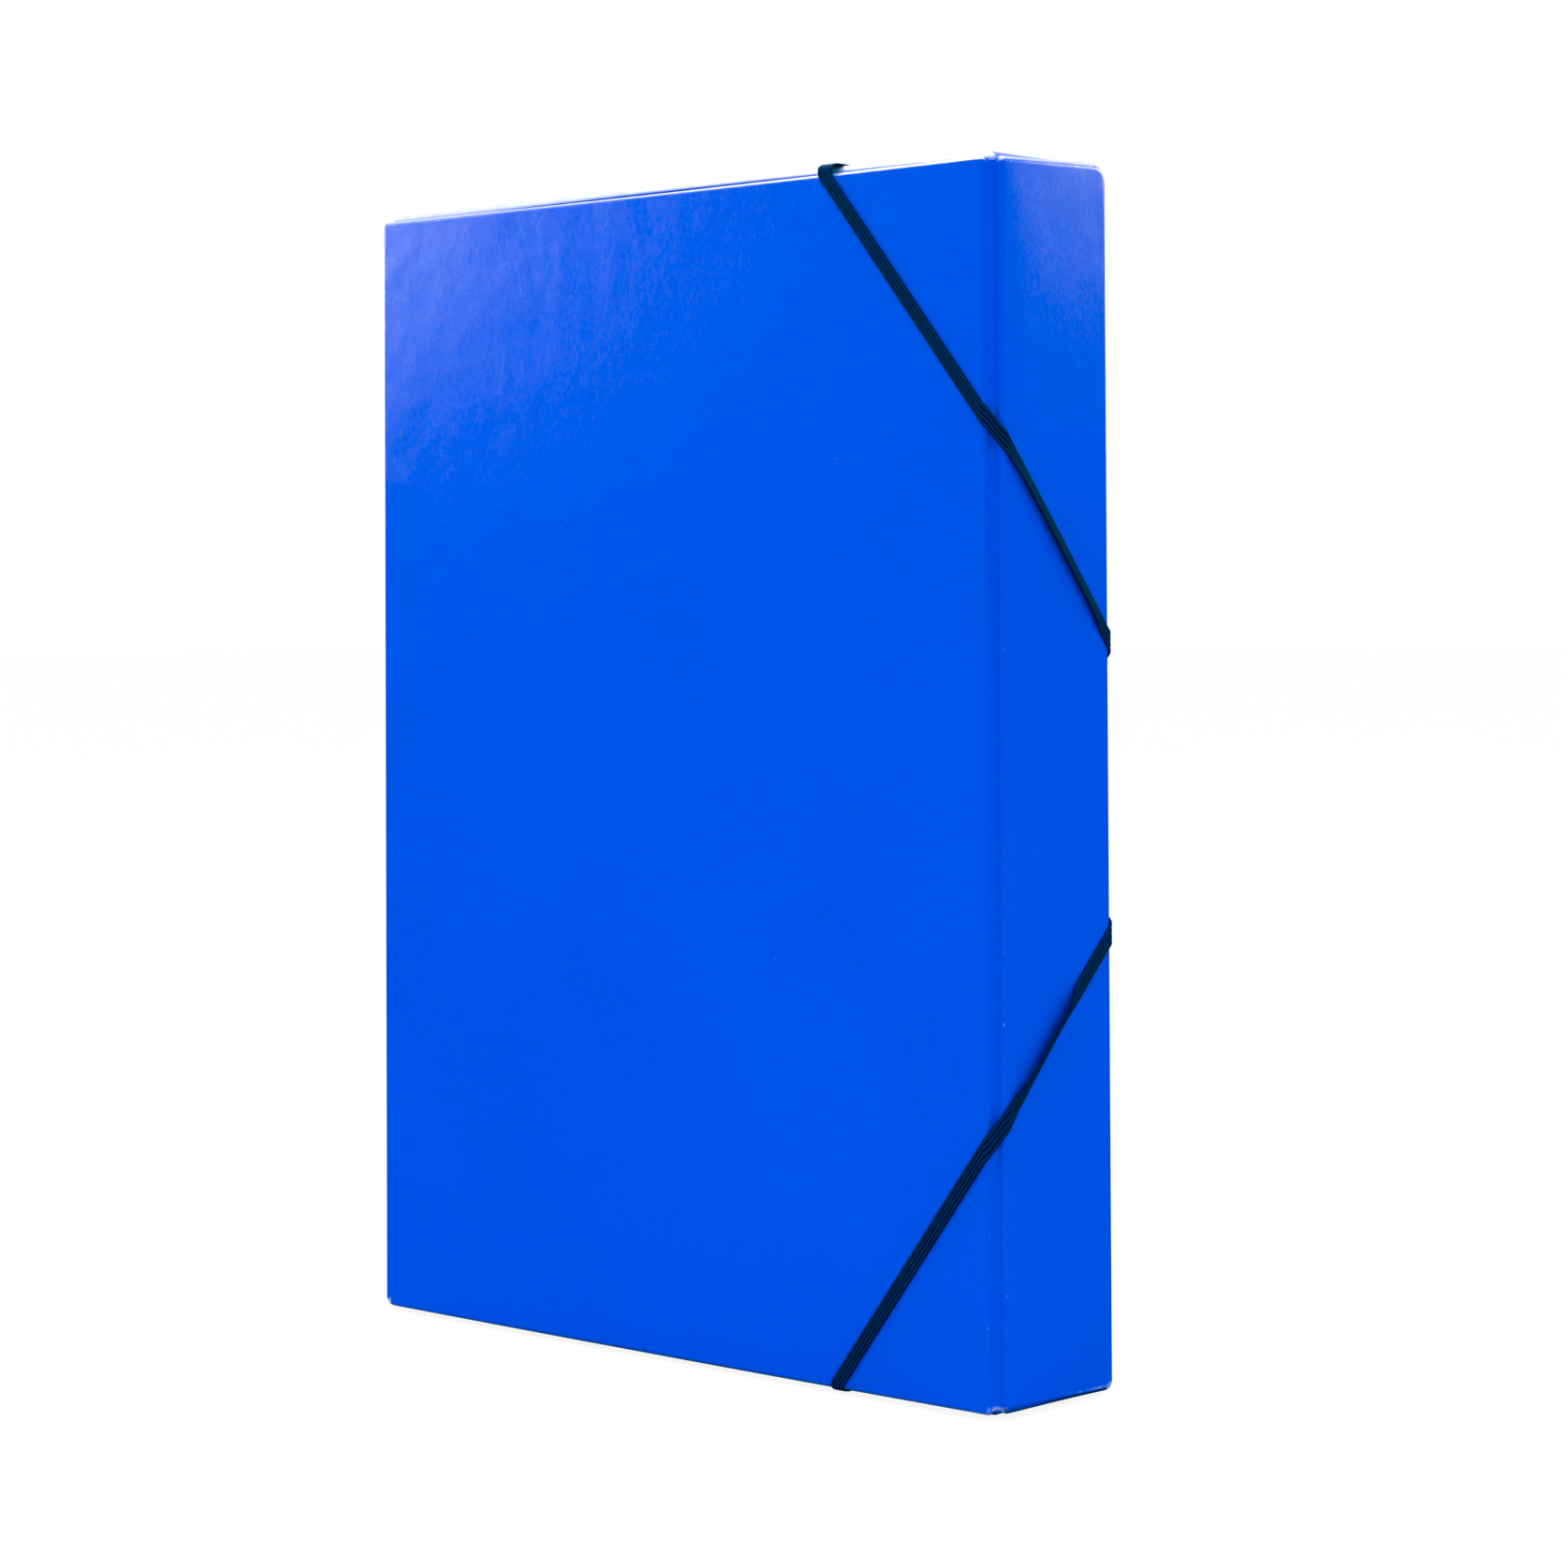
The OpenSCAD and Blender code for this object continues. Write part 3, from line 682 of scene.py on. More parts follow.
FLAP_RECT = (FP0, FP1, FQ - FH, FQ + FH)
FLAP_RADII = (1.0, 2.5, 5.5, 1.4)
BACK_RECT = (X0 + GROOVE, BACK_X1, CASE_Z0, CASE_Z1)
BACK_RADII = (1.0, 3.0, 3.0, 1.0)
SPINE_RECT = (Y0 + GROOVE, Y1 - GROOVE, CASE_Z0, CASE_Z1)
SPINE_RADII = (1.0, 1.0, 1.0, 1.0)

(sl0, _, sz0), (_, _, _) = box("elastic_end_clips")
HOLES = [(62.5, 68.5, 19.6, 21.2), (62.5, 68.5, 323.8, 325.4), (103.6, 105.2, 145.1, 151.1), (103.6, 105.2, 185.1, 191.1)]


def inner(rect, sides):
    """Board outline inside its covering paper: T in on every side."""
    return (rect[0] + T, rect[1] - T, rect[2] + T, rect[3] - T)


def finish_piece(ob, body, slot, *nodes):
    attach(ob, body)
    if nodes:
        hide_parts(*nodes)
    return ob


finish_piece(cover_sheet("lid_cover", LID_RECT, LID_RADII, ("q0", "q1"), lid_place, lid_warp, COVER, (0, -1, 0)), "lid", "cover_paper", "lid_cover_paper")
finish_piece(slab("lid_core", inner(LID_RECT, ""), (2.6, 1.0, 1.0, 1.4), T, A, lid_place, lid_warp, BOARD_M), "lid", "greyboard", "lid_board")
finish_piece(cover_sheet("flap_cover", FLAP_RECT, FLAP_RADII, ("q0", "q1", "p1"), flap_place, flap_warp, COVER, (1, 0, 0), step=4.5), "flap", "cover_paper", "flap_cover_paper")
finish_piece(slab("flap_core", inner(FLAP_RECT, ""), (1.0, 2.3, 5.3, 1.2), T, A, flap_place, flap_warp, BOARD_M, step=5), "flap", "greyboard", "flap_board")
finish_piece(cover_sheet("back_cover", BACK_RECT, BACK_RADII, ("q0", "q1", "p1"), back_place, back_warp, COVER, (0, 1, 0), holes=HOLES, total=A + 0.15), "tray", "cover_paper", "back_cover_paper")
finish_piece(slab("back_core", inner(BACK_RECT, ""), (1.0, 2.8, 2.8, 1.0), T, A, back_place, back_warp, BOARD_M, holes=HOLES), "tray", "greyboard", "back_board")
finish_piece(cover_sheet("spine_cover", SPINE_RECT, SPINE_RADII, ("q0", "q1"), spine_place, spine_warp, COVER, (-1, 0, 0), step=5), "tray", "cover_paper", "spine_cover_paper")
finish_piece(slab("spine_core", inner(SPINE_RECT, ""), (1.0, 1.0, 1.0, 1.0), T, A, spine_place, spine_warp, BOARD_M, step=5), "tray", "greyboard", "spine_board")


def lining_piece(name, node, rect, place, warp, thin, body, step=6.0):
    """Lining sheet glued over a board's inner face and up onto the turned-in margins."""
    p0, p1, q0, q1 = rect

    def lift(p, q):
        e = min(p - p0 + thin, p1 - p + thin, q - q0 + thin, q1 - q + thin)
        return 0.06 + (T + 0.06) * smooth01((TURN + 3.5 - e) / 2.0) + 0.02 * noise.noise(Vector((p / 6, q / 6, 2)))

    ob = slab(name, rect, (1, 1, 1, 1), A, A + T, place, warp, LINING, r=0.09, step=step, depth=lift,
              zones_p=[(p0 + TURN - thin + 0.5, p0 + TURN - thin + 4.5, 6), (p1 - TURN + thin - 4.5, p1 - TURN + thin - 0.5, 6)],
              zones_q=[(q0 + TURN - thin + 0.5, q0 + TURN - thin + 4.5, 6), (q1 - TURN + thin - 4.5, q1 - TURN + thin - 0.5, 6)])
    return finish_piece(ob, body, "lining_paper", node)


lo, hi = box("lid_lining_paper")
lining_piece("lid_lining", "lid_lining_paper", (lo[0], hi[0], lo[2], hi[2]), lid_place, lid_warp, 4.0, "lid")
lo, hi = box("flap_lining_paper")
lining_piece("flap_lining", "flap_lining_paper", (lo[1], hi[1], lo[2] + FLARE, hi[2] - FLARE), flap_place, flap_warp, 4.0, "flap", step=4)


# ---------------------------------------------------------------- paper hinges
def hinge_sheet(name, path, z0, z1, to_world, mat, t=T, sag=0.0, step=6.0, ripple=0.0, seed=0.0):
    """Sheet along z with the section path (outer face) and thickness t towards the box's inside."""
    n = len(path)
    inner_path = offset_path(path, t)
    zs = lines(z0, z1, step, [(z0, z0 + 3, 4), (z1 - 3, z1, 4)])
    verts, faces = [], []
    for z in zs:
        for ring in (path, inner_path):
            for k, (u, v) in enumerate(ring):
                s = k / (n - 1)
                hump = math.sin(math.pi * s)
                zz = z
                if z < z0 + 3: zz += sag * hump * (z0 + 3 - z) / 3
                if z > z1 - 3: zz -= sag * hump * (z - z1 + 3) / 3
                d = ripple * hump * noise.noise(Vector((z / 14, s * 1.5, seed)))
                verts.append(to_world(u + d, v + d, zz))
    m = 2 * n
    for j in range(len(zs) - 1):
        a, b = j * m, (j + 1) * m
        for k in range(n - 1):
            faces.append((a + k, a + k + 1, b + k + 1, b + k))
            faces.append((a + n + k + 1, a + n + k, b + n + k, b + n + k + 1))
        faces.append((a, b, b + n, a + n))
        faces.append((a + n - 1, a + 2 * n - 1, b + 2 * n - 1, b + n - 1))
    for a, flip in ((0, False), ((len(zs) - 1) * m, True)):
        for k in range(n - 1):
            f = (a + k, a + n + k, a + n + k + 1, a + k + 1)
            faces.append(f[::-1] if flip else f)
    return remember(to_object(name, verts, faces, mat))


def bezier(p0, p1, p2, p3, n):
    out = []
    for t in np.linspace(0, 1, n):
        k = [(1 - t) ** 3, 3 * t * (1 - t) ** 2, 3 * t * t * (1 - t), t ** 3]
        out.append(tuple(sum(c * p[i] for c, p in zip(k, (p0, p1, p2, p3))) for i in (0, 1)))
    return out


G, RE = GROOVE, R_EDGE
VALLEY = bezier((RE, G + 0.06), (2.25, G + 0.06), (G + 0.06, 2.25), (G + 0.06, RE), 17)        # from the side panel (u small) to the lid (v small)
LEGS = fillet([(A + T, 18.6), (A + T, 3.95), (3.95, A + T), (18.6, A + T)], (1.2, 1.2))


def at_spine_lid(u, v, z): return (X0 + u, Y0 + v, z)
def at_flap_lid(u, v, z): return (X1 - u - flap_bow((v - G) / (FP1 - FP0)) * smooth01((v - 1.5) / 2.15), Y0 + v, z)
def at_spine_back(u, v, z): return (X0 + u, Y1 - v, z)


def world(f, u, v, z=172.5): return tuple(c * MM for c in f(u, v, z))


# path runs so that its left side is the inside of the box
G2 = G - LEFT_OUT
NARROW = bezier((RE, G + 0.06), (2.0, G + 0.06), (G2 + 0.06, 2.2), (G2 + 0.06, RE), 17)
for name, node, f, z0, z1, a, b, path in (
        ("spine_lid_joint", "spine_lid_hinge_paper", at_spine_lid, HS_Z0 + 0.3, HS_Z1 - 0.35, "tray", "lid", NARROW),
        ("lid_flap_joint", "lid_flap_hinge_paper", at_flap_lid, HP_Z0 - 0.45, HP_Z1 - 0.45, "lid", "flap", VALLEY)):
    ob = hinge_sheet(name, path, z0, z1, f, COVER, sag=0.7, ripple=0.12, seed=len(name))
    side, lid_end = world(f, *path[0]), world(f, *path[-1])
    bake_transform(ob)
    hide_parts(node)
ob = hinge_sheet("spine_back_joint", VALLEY, CASE_Z0 + 0.3, CASE_Z1 - 0.3, at_spine_back, COVER, sag=0.7, ripple=0.1, seed=5)
finish_piece(ob, "tray", "cover_paper", "back_spine_hinge_paper")
for name, node, f, z0, z1, a, b in (("spine_lid_joint_lining", "spine_lid_hinge_lining", at_spine_lid, CASE_Z0 + TURN + 0.05, LID_Z1 - TURN - 0.05, "tray", "lid"),
                                    ("lid_flap_joint_lining", "lid_flap_hinge_lining", at_flap_lid, FLAP_Z0 + 2 * FLARE + TURN + 0.1, LID_Z1 - TURN - 0.1, "lid", "flap")):
    ob = hinge_sheet(name, LEGS, z0, z1, f, COVER, t=-T, sag=0.0, ripple=0.0, seed=3)
    side, lid_end = world(f, 3.65 * 0.281, 3.65 * 0.719), world(f, 3.65 * 0.719, 3.65 * 0.281)
    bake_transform(ob)
    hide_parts(node)

# ---------------------------------------------------------------- tray
TR = 3.0
TRX0, TRX1 = TA, TB - 0.15
RIM = 1.95


def bulge(x, y, z, nz):
    """Top wall stands slightly proud in its middle, the ends are drawn in, and the back is held by the case."""
    if nz <= 0:
        return 0.0
    c = 1 - ((x - (TRX0 + TRX1) / 2) / ((TRX1 - TRX0) / 2)) ** 2
    return nz * (0.65 * c - 0.3) * smooth01((TK - 2 - y) / 30)


def tray_outline(step=8.0):
    """Points (x, z) and normals round the tray, counter-clockwise seen from the front."""
    xs = lines(TRX0 + TR, TRX1 - TR, step)
    zs = lines(TR, BOX_H - TR, 12.0)
    out = [((x, 0.0), (0.0, -1.0)) for x in xs]
    arc = lambda cx, cz, a0: [((cx + TR * math.cos(math.radians(a0 + f)), cz + TR * math.sin(math.radians(a0 + f))),
                               (math.cos(math.radians(a0 + f)), math.sin(math.radians(a0 + f)))) for f in (15, 30, 45, 60, 75)]
    out += arc(TRX1 - TR, TR, -90)
    out += [((TRX1, z), (1.0, 0.0)) for z in zs]
    out += arc(TRX1 - TR, BOX_H - TR, 0)
    out += [((x, BOX_H), (0.0, 1.0)) for x in reversed(xs)]
    out += arc(TRX0 + TR, BOX_H - TR, 90)
    out += [((TRX0, z), (-1.0, 0.0)) for z in reversed(zs)]
    out += arc(TRX0 + TR, TR, 180)
    return out


def tray_sweep(name, prof, mat, closed, t=None):
    """Sweeps a section of (inset, y, spine share) points round the tray. closed joins the section's ends."""
    ring = tray_outline()
    verts, faces, mark = [], [], []
    m = len(prof)
    for (x, z), (nx, nz) in ring:
        for d, y in prof:
            yy = y
            dd = d
            if y > TK - 0.01 and d < RIM and nx < -0.5:
                dd = RIM * 1.0
            if abs(y - (TK - RIM)) < 0.01 and d == 0.0:
                yy = y
            px, pz = x - nx * dd, z - nz * dd
            b = bulge(px, yy, pz, nz)
            w = 0.07 * noise.noise(Vector((px / 30, yy / 20, pz / 40)))
            verts.append((px + nx * w, yy, pz + nz * w + b))
            mark.append((1.0 if d < RIM + 0.05 and y < TF + RIM * 0.95 else 0.0, 0, 0))
    n = len(ring)
    for k in range(n):
        a, b = k * m, ((k + 1) % n) * m
        for j in range(m if closed else m - 1):
            j2 = (j + 1) % m
            faces.append((a + j, b + j, b + j2, a + j2))
    out = (1, 0, 0) if name == "tray_wrap" else None
    ob = to_object(name, verts, faces, mat, coords=mark, outward=None)
    return ob


rim_arc = [(RIM * k, TF + RIM * j) for k, j in ((0, 1), (0.02, 0.9), (0.09, 0.74), (0.27, 0.5), (0.5, 0.27), (0.74, 0.09), (0.9, 0.02), (1, 0))]
in_r = 0.42
wrap = [(1.5, TK + 0.12), (0.0, TK + 0.12), (0.0, TK - RIM), (0.0, 10.0), (0.0, 0.0), (0.0, -10.0), (0.0, -18.0)] + rim_arc
wrap += [(A + T - in_r + in_r * math.sin(f), TF + in_r - in_r * math.cos(f)) for f in np.radians((30, 60, 90))]
wrap += [(A + T, -18.0), (A + T, -12.0), (A + T, -7.2)]
ob = tray_sweep("tray_wrap", wrap, COVER, False)
me = ob.data
# outer side of the open sheet must face away from the wall before it is thickened
big = max((p for p in me.polygons if abs(p.normal.z) > 0.9 and p.center.z > 0.34), key=lambda p: p.area)
if big.normal.z < 0:
    me.flip_normals()
thicken(ob, T)
remember(ob)
finish_piece(ob, "tray", "cover_paper", "tray_wrap_paper")


def wall(name, node, lo_, hi_):
    """Wall board with the same bow as its wrap."""
    vs, fs = [], []
    (xa, ya, za), (xb, yb, zb) = lo_, hi_
    along_x = (xb - xa) > (zb - za)
    n = 30
    ya += 0.3
    if not along_x and xa > 0: xb -= 0.2
    if along_x: xa, xb = TRX0 + A + 0.05, TRX1 - A - 0.05
    else: za, zb = 2.05, BOX_H - 2.05
    for k in range(n + 1):
        f = k / n
        cut = 1.6 if not along_x and xa < 0 else 0.06
        for y, d in ((ya, 1.2), (ya + 1.3, 0.0), (yb - cut, 0.0), (yb, cut)):
            for side in (0, 1):
                if along_x:
                    x = xa + (xb - xa) * f
                    top = za > 100
                    z = zb - (d if top else 0) if side else za + (0 if top else d)
                    vs.append((x, y, z + bulge(x, y, z, 1.0 if top else 0)))
                else:
                    z = za + (zb - za) * f
                    right = xa > 0
                    x = xb - (d if right else 0) if side else xa + (0 if right else d)
                    vs.append((x, y, z))
    for k in range(n):
        a, b = k * 8, (k + 1) * 8
        loop = (0, 2, 4, 6, 7, 5, 3, 1)
        for j in range(8):
            p, q = loop[j], loop[(j + 1) % 8]
            fs.append((a + p, a + q, b + q, b + p))
    for a in (0, n * 8):
        for q in ((0, 2, 3, 1), (2, 4, 5, 3), (4, 6, 7, 5)):
            fs.append(tuple(a + j for j in q))
    return finish_piece(remember(to_object(name, vs, fs, BOARD_M, merge=1e-7)), "tray", "greyboard", node)


for nm, node in (("tray_wall_top", "tray_top_wall"), ("tray_wall_bottom", "tray_bottom_wall"), ("tray_wall_spine", "tray_spine_wall"), ("tray_wall_fore", "tray_fore_edge_wall")):
    wall(nm, node, *box(node))

lin = [(A, -7.15), (A + T, -7.0), (A + T, 0.0), (A + T, 8.0), (A + T, 15.0), (A + T, 20.75), (A, 20.8), (A, 15.0), (A, 8.0), (A, 0.0)]
ob = remember(tray_sweep("tray_inner_lining", lin, LINING, True))
finish_piece(ob, "tray", "lining_paper", "tray_wall_lining")
lo, hi = box("tray_floor_lining")
ob = slab("tray_floor_sheet", (lo[0], hi[0], lo[2], hi[2]), (0.8, 0.8, 0.8, 0.8), Y1 - hi[1], Y1 - lo[1], back_place,
          lambda p, q, n: (p, q, n + (0.08 + 0.08 * noise.noise(Vector((p / 30, q / 40, 3)))) * (n > Y1 - hi[1] + 0.05)), LINING, r=0.09, step=8)
finish_piece(ob, "tray", "lining_paper", "tray_floor_lining")
for node, slot, mat in (("tray_floor_board", "greyboard", board_material("greyboard_floor", False)), ("elastic_end_clips", "end_clip", steel_material("clip_steel"))):
    ob = frame["nodes"][node]
    ob.data.materials.clear()
    ob.data.materials.append(mat)


# ---------------------------------------------------------------- elastic bands
def dense(path, step=0.5):
    pts = [np.array(path[0], float)]
    for p in path[1:]:
        p = np.array(p, float)
        d = np.linalg.norm(p - pts[-1])
        k = max(1, int(math.ceil(d / step)))
        a = pts[-1]
        pts += [a + (p - a) * (i / k) for i in range(1, k + 1)]
    return np.array(pts)


class Section:
    """Box section as a path measured by its length, giving a place and an outward normal."""

    def __init__(self, corners, radii, zero, turn):
        self.p = dense(fillet(corners, radii), 0.4)
        d = np.gradient(self.p, axis=0)
        d /= np.linalg.norm(d, axis=1)[:, None]
        self.n = np.stack([d[:, 1], -d[:, 0]], 1) * turn
        self.s = np.concatenate([[0], np.cumsum(np.linalg.norm(np.diff(self.p, axis=0), axis=1))]) + zero

    def at(self, s):
        p = [float(np.interp(s, self.s, self.p[:, k])) for k in (0, 1)]
        n = [float(np.interp(s, self.s, self.n[:, k])) for k in (0, 1)]
        l = math.hypot(*n) or 1
        return p, (n[0] / l, n[1] / l)

    def length_to(self, p):
        d = np.linalg.norm(self.p - np.array(p), axis=1)
        return float(self.s[int(np.argmin(d))])


SIDE = Section([(0, -25), (120.05, -25), (124, -21.05), (124.4, 2), (124.45, 26.1), (121.2, 26.1), (117, 25), (105.1, 25), (105.1, 22.75)], (1.5, 1.5, 3, 1.1, 1.0, 1.0, 0.55), 0.0, 1)
END_TOP = Section([(-25, 172.5), (-25, 344.75), (-22.6, 345.2), (21.4, 345.0), (25, 343.3), (25, 325.3), (22.75, 325.3)], (1.3, 1.3, 1.6, 1.6, 0.55), 172.5, -1)
END_LOW = Section([(-25, -172.5), (-25, -0.75), (-21.4, -0.05), (21.4, -0.05), (25, -1.7), (25, -19.7), (22.75, -19.7)], (1.6, 1.6, 1.6, 1.6, 0.55), -172.5, -1)


def band(name, node, body, sign, end, path2, radii2, width, tilt):
    """Ribbed elastic laid along a path drawn on the unfolded box. sign is +1 at the top end and -1 at the foot."""
    flat = dense(fillet(path2, radii2), 0.5)
    d = np.gradient(flat, axis=0)
    d /= np.linalg.norm(d, axis=1)[:, None]
    s = np.concatenate([[0], np.cumsum(np.linalg.norm(np.diff(flat, axis=0), axis=1))])
    ribs = 4
    prof = []
    top = [(-1 + 2 * k / (ribs * 4), 1) for k in range(ribs * 4 + 1)]
    for w, _ in top:
        prof.append((w, 0.26 + 0.15 * abs(math.sin(math.pi * ribs * (w + 1) / 2)) ** 0.7 - 0.14 * max(0, abs(w) - 0.9) * 10))
    for w, _ in reversed(top):
        prof.append((w, -(0.26 + 0.15 * abs(math.sin(math.pi * ribs * (w + 1) / 2)) ** 0.7 - 0.14 * max(0, abs(w) - 0.9) * 10)))
    verts, faces, mark = [], [], []
    m = len(prof)
    lid_top = end.s[0]
    for k, (U, V) in enumerate(flat):
        tx, tz = d[k]
        wx, wz = -tz, tx
        half = width(U, V * sign if sign < 0 else V) / 2
        phi, lift = tilt(U)
        cs, sn = math.cos(phi), math.sin(phi)
        jig = 0.05 * noise.noise(Vector((s[k] / 7, 0, 3 * sign)))
        for w, h in prof:
            a, b = (w * half) * cs - h * sn, (w * half) * sn + h * cs
            u, v = U + wx * a, V + wz * a
            off = 0.5 + lift + b + jig * 0.5
            if u > 100:
                (x, y), (nx, ny) = SIDE.at(u)
                verts.append((x + nx * off, y + ny * off, v * sign))
            else:
                (y, z), (ny, nz) = end.at(v)
                thin = smooth01(abs(nz))
                off = (0.5 - 0.18 * thin) + lift + b * (1 - 0.4 * thin) + jig * 0.3
                verts.append((u, y + ny * off, (z + nz * off) * sign))
            mark.append((float(s[k]), w, h))
    for k in range(len(flat) - 1):
        a, b = k * m, (k + 1) * m
        for j in range(m):
            j2 = (j + 1) % m
            faces.append((a + j, b + j, b + j2, a + j2))
    faces.append(tuple(range(m)))
    faces.append(tuple(range((len(flat) - 1) * m, len(flat) * m))[::-1])
    ob = remember(to_object(name, verts, faces, ELASTIC, smooth=75, coords=mark, merge=0))
    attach(ob, body)
    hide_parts(node)
    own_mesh(ob)
    return ob


u_flap0 = SIDE.length_to((124, -21.05 + 0.7))
u_slot = SIDE.s[-1]
flap_u = lambda y: u_flap0 + (y + 20.35)


def up_width(U, V):
    return 4.0 + 1.3 * smooth01((V - 339.5) / 4)


def up_tilt(U):
    f = smooth01((U - flap_u(-20)) / 8) * smooth01((flap_u(24) - U) / 7)
    return -math.radians(19) * f, 0.65 * f


top_end = float(END_TOP.s[-1])
back_u = lambda x: SIDE.length_to((x, 25))
upper = [(63.9, top_end), (63.9, 341.9), (119.4, 273.1), (flap_u(-18), 261.8), (flap_u(25), 211.2), (back_u(107.6), 188.1), (u_slot, 188.1)]
band("upper_band_strap", "upper_elastic", "upper_band", 1, END_TOP, upper[:], (4.5, 10, 10, 8, 5), up_width, up_tilt)

# the lower band is laid out with z counted down from the foot, so that both ends use one drawing
def low_width(U, V):
    return 3.15 + 1.1 * smooth01((-V - 0.5) / -3.0 + 0.5) + 0.3 * smooth01((U - 140) / 20)


def low_tilt(U):
    y = U - flap_u(0)
    f = smooth01((y + 20) / 9) * smooth01((13 - y) / 9)
    return -math.radians(37) * f, 1.25 * f


low_end = float(END_LOW.s[-1])
lower = [(66.4, low_end), (66.4, -1.6), (119.0, -71.8), (flap_u(-18), -84.5), (flap_u(0), -103.6), (flap_u(25), -127.3), (back_u(107.6), -148.1), (u_slot, -148.1)]
band("lower_band_strap", "lower_elastic", "lower_band", -1, END_LOW, lower[:], (3.5, 10, 12, 14, 8, 5), low_width, low_tilt)

# ---------------------------------------------------------------- studio
floor_mat, nt, bs = nodes_of("studio_floor")
k = Net(nt, False)
k.put(bs.inputs["Base Color"], k.mix(k.noise(300, 1), (0.93, 0.93, 0.93), (0.96, 0.96, 0.96)))
bs.inputs["Roughness"].default_value = 0.9
bs.inputs["Specular IOR Level"].default_value = 0.0
em = nt.nodes.new("ShaderNodeEmission")
em.inputs["Color"].default_value = (1, 1, 1, 1)
em.inputs["Strength"].default_value = 1.0
lp = nt.nodes.new("ShaderNodeLightPath")
add = nt.nodes.new("ShaderNodeAddShader")
mixs = nt.nodes.new("ShaderNodeMixShader")
outn = [n for n in nt.nodes if n.type == "OUTPUT_MATERIAL"][0]
nt.links.new(bs.outputs[0], mixs.inputs[1])
nt.links.new(em.outputs[0], mixs.inputs[2])
gain = nt.nodes.new("ShaderNodeMath")
gain.operation = "MULTIPLY"
gain.inputs[1].default_value = 1.12
nt.links.new(lp.outputs["Is Camera Ray"], gain.inputs[0])
nt.links.new(gain.outputs[0], em.inputs["Strength"])
share = nt.nodes.new("ShaderNodeMath")
share.operation = "MULTIPLY"
share.inputs[1].default_value = 0.80
nt.links.new(lp.outputs["Is Camera Ray"], share.inputs[0])
nt.links.new(share.outputs[0], mixs.inputs[0])
# seen from underneath the floor lets the view through, so that the foot of the box can be looked at
clear = nt.nodes.new("ShaderNodeBsdfTransparent")
under = nt.nodes.new("ShaderNodeNewGeometry")
sided = nt.nodes.new("ShaderNodeMixShader")
nt.links.new(under.outputs["Backfacing"], sided.inputs[0])
nt.links.new(mixs.outputs[0], sided.inputs[1])
nt.links.new(clear.outputs[0], sided.inputs[2])
nt.links.new(sided.outputs[0], outn.inputs[0])
bpy.ops.mesh.primitive_plane_add(size=40.0, location=(0, 0, -0.0009))
floor = bpy.context.object
floor.name = "studio_floor"
floor.data.materials.append(floor_mat)
floor.visible_glossy = False

world_ = bpy.data.worlds.new("studio")
bpy.context.scene.world = world_
world_.use_nodes = True
nt = world_.node_tree
nt.nodes.clear()
wo = nt.nodes.new("ShaderNodeOutputWorld")
bg = nt.nodes.new("ShaderNodeBackground")
bg.inputs["Color"].default_value = (1, 1, 1, 1)
lp = nt.nodes.new("ShaderNodeLightPath")


def wmath(op, a, b):
    n = nt.nodes.new("ShaderNodeMath")
    n.operation = op
    for i, v in ((0, a), (1, b)):
        if isinstance(v, (int, float)): n.inputs[i].default_value = v
        else: nt.links.new(v, n.inputs[i])
    return n.outputs[0]


W_CAM, W_DIFF, W_GLOSS = 1.0, 0.50, 0.01
geo = nt.nodes.new("ShaderNodeTexCoord")
sepd = nt.nodes.new("ShaderNodeSeparateXYZ")
nt.links.new(geo.outputs["Generated"], sepd.inputs[0])


def wramp(v, a, b):
    n = nt.nodes.new("ShaderNodeMapRange")
    n.interpolation_type = "SMOOTHSTEP"
    n.inputs["From Min"].default_value, n.inputs["From Max"].default_value = a, b
    nt.links.new(v, n.inputs["Value"])
    return n.outputs[0]


behind = wmath("ADD", wmath("MULTIPLY", sepd.outputs[0], -0.66), wmath("MULTIPLY", sepd.outputs[1], 0.75))
sky = wmath("MULTIPLY", wramp(sepd.outputs[2], 0.25, 0.6), wramp(behind, -0.2, 0.4))
gloss = wmath("ADD", wmath("MULTIPLY", sky, 1.6), W_GLOSS)
st = wmath("ADD", wmath("MULTIPLY", lp.outputs["Is Camera Ray"], W_CAM),
           wmath("ADD", wmath("MULTIPLY", lp.outputs["Is Diffuse Ray"], W_DIFF), wmath("MULTIPLY", lp.outputs["Is Glossy Ray"], gloss)))
nt.links.new(st, bg.inputs["Strength"])
nt.links.new(bg.outputs[0], wo.inputs[0])


def area(name, loc, target, size, power, spread=180, glossy=True, diffuse=True):
    li = bpy.data.lights.new(name, "AREA")
    li.shape = "RECTANGLE"
    li.size, li.size_y = size
    li.energy = power
    li.spread = math.radians(spread)
    ob = bpy.data.objects.new(name, li)
    bpy.context.scene.collection.objects.link(ob)
    ob.location = loc
    ob.rotation_euler = (Vector(target) - Vector(loc)).to_track_quat("-Z", "Y").to_euler()
    ob.visible_glossy = glossy
    ob.visible_diffuse = diffuse
    ob.visible_camera = False
    return ob


C = Vector((0, 0, 0.19))


def toward(d, dist):
    return tuple(C + Vector(d).normalized() * dist)


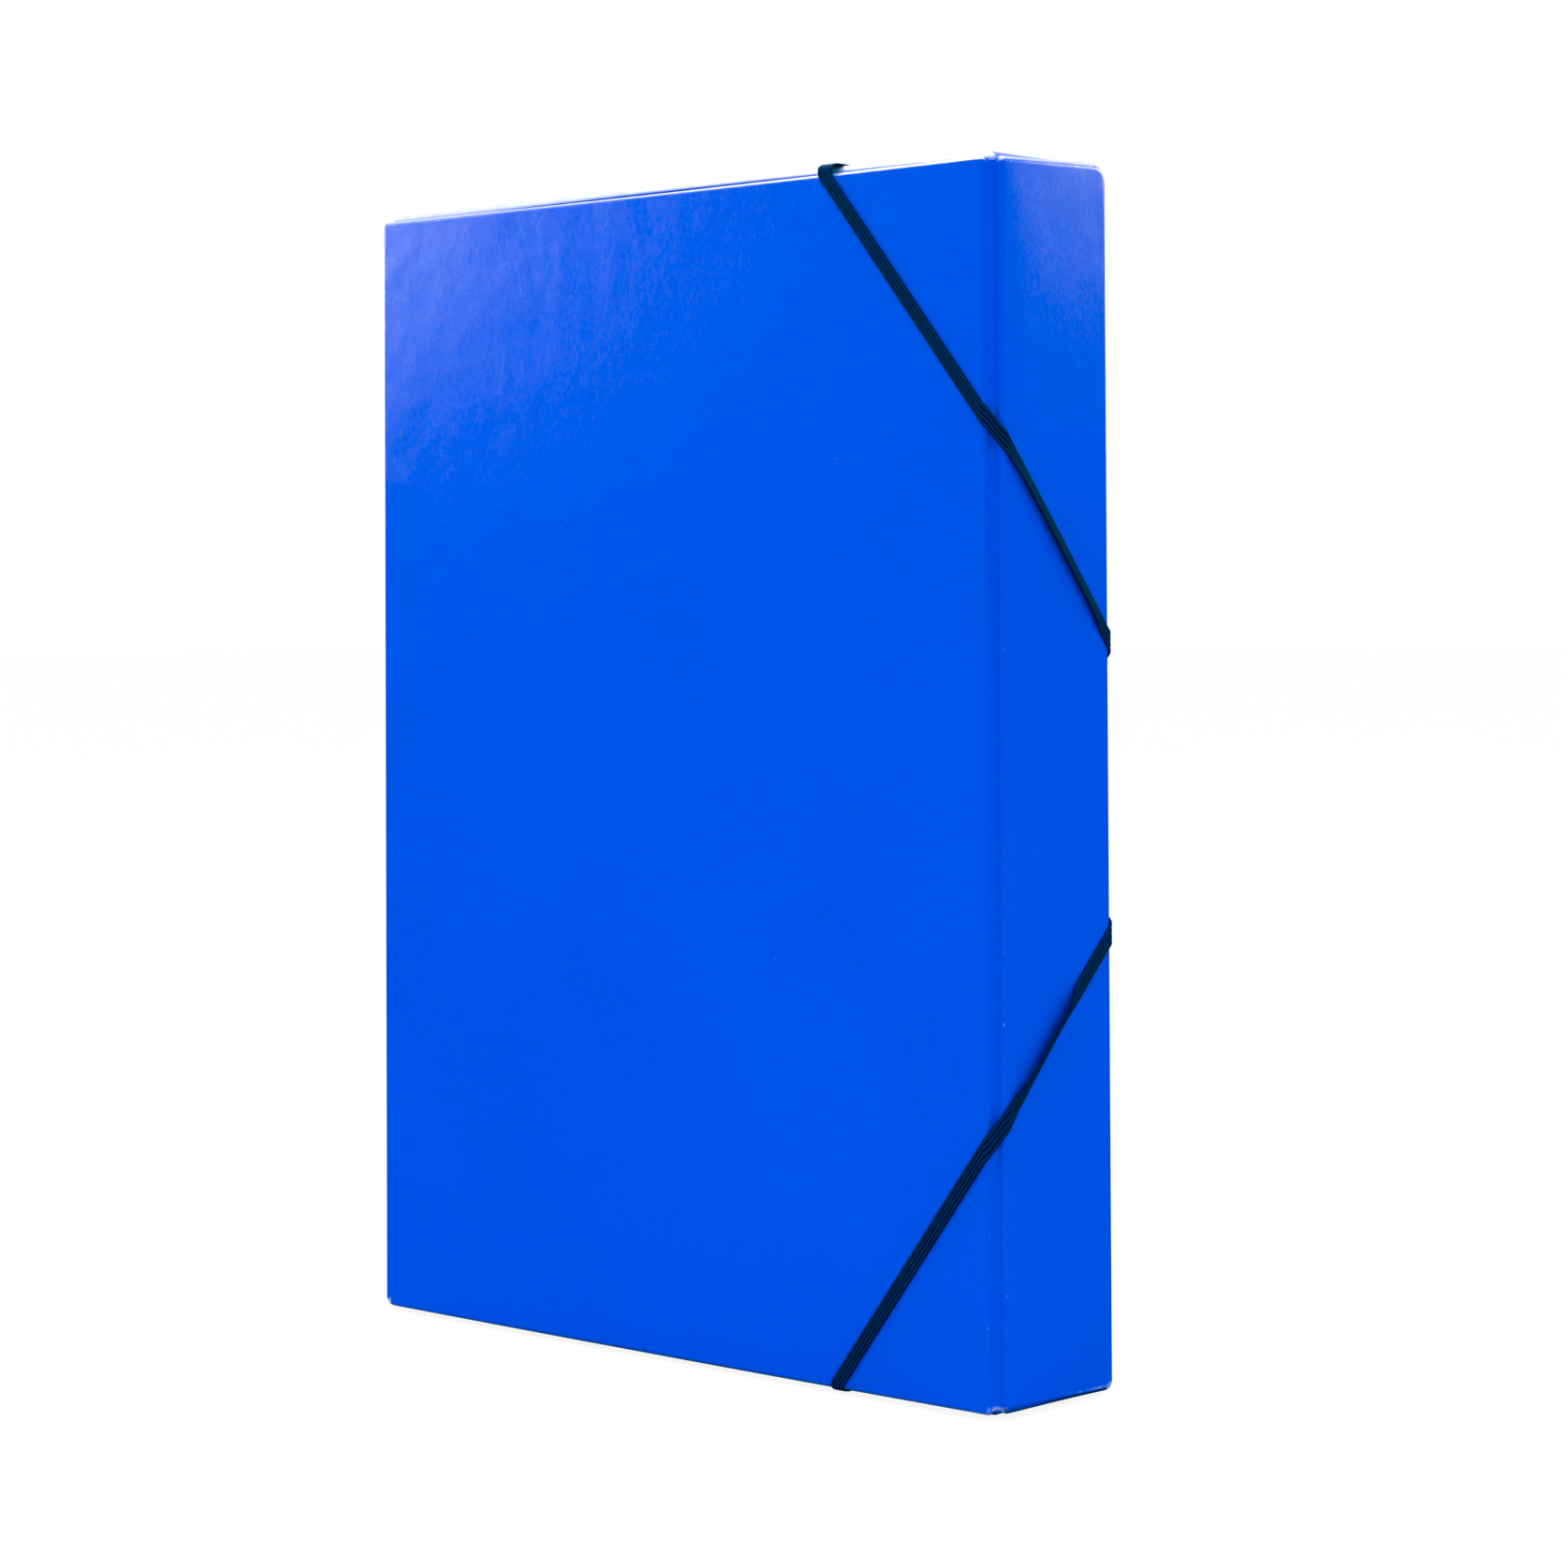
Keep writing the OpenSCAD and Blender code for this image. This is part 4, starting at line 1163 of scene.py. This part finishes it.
lights = [
    area("overhead_softbox", (0.0, -0.1, 1.75), (0, 0, 0.3), (1.5, 1.2), 19.0, glossy=False),
    area("overhead_sheen", (0.0, -0.1, 1.35), (0, -0.1, 0), (1.8, 1.9), 95.0, diffuse=False),
    area("left_softbox", toward((-0.90, -0.49, 0.36), 1.7), C, (0.42, 0.62), 15.0, diffuse=False),
    area("right_back_softbox", toward((0.46, 0.85, 0.35), 1.8), C, (0.42, 0.36), 14.5, diffuse=False),
    area("side_fill", toward((0.9, 0.2, 0.4), 2.0), C, (1.0, 1.0), 4.5, glossy=False),
    area("front_fill", toward((-0.45, -0.85, 0.35), 2.0), C, (1.2, 1.0), 0.8, glossy=False),
    area("top_front_fill", (-0.15, -0.52, 0.72), (0, 0, 0.30), (0.6, 0.4), 0.8, glossy=False),
]

# ---------------------------------------------------------------- camera
az, pitch, roll = math.radians(41.371), math.radians(0.695), math.radians(-0.212)
fwd = Vector((-math.sin(az) * math.cos(pitch), math.cos(az) * math.cos(pitch), math.sin(pitch)))
right = Vector((math.cos(az), math.sin(az), 0))
up = right.cross(fwd)
r = right * math.cos(roll) + up * math.sin(roll)
u = -right * math.sin(roll) + up * math.cos(roll)
cd = bpy.data.cameras.new("photo_camera")
cam = bpy.data.objects.new("photo_camera", cd)
bpy.context.scene.collection.objects.link(cam)
M = Matrix.Identity(4)
for i in range(3):
    M[i][0], M[i][1], M[i][2] = r[i], u[i], -fwd[i]
M[0][3], M[1][3], M[2][3] = 0.716506, -0.784573, 0.217528
cam.matrix_world = M
cd.sensor_width = 36.0
cd.lens = 81.486
cd.clip_start = 0.01
cd.clip_end = 50
SHIFT = -0.1340
cd.shift_y = SHIFT
# the shift belongs to the photographed view only: it fades out as soon as the camera stands elsewhere
fc = cd.driver_add("shift_y")
dr = fc.driver
dr.type = "SUM"
for i in range(40):
    var = dr.variables.new()
    var.name = "cx%d" % i
    var.type = "TRANSFORMS"
    var.targets[0].id = cam
    var.targets[0].transform_type = "LOC_X"
    var.targets[0].transform_space = "WORLD_SPACE"
for mod in list(fc.modifiers):
    fc.modifiers.remove(mod)
HERE = 40 * M[0][3]
for x, y in ((HERE - 800, 0.0), (HERE - 0.10, 0.0), (HERE - 0.04, SHIFT), (HERE + 0.04, SHIFT), (HERE + 0.10, 0.0), (HERE + 800, 0.0)):
    kp = fc.keyframe_points.insert(x, y)
    kp.interpolation = "LINEAR"
bpy.context.scene.camera = cam
bpy.context.scene.view_settings.view_transform = "Standard"
bpy.context.scene.view_settings.look = "None"
bpy.context.scene.view_settings.exposure = 0.0
bpy.context.scene.view_settings.gamma = 1.0
# the cover's blue lies outside the screen's colours: its red is below zero, so red's black point is set a little up
bpy.context.scene.view_settings.use_curve_mapping = True
bpy.context.scene.view_settings.curve_mapping.black_level = (0.040, 0.0, 0.0)
bpy.context.scene.view_settings.curve_mapping.update()
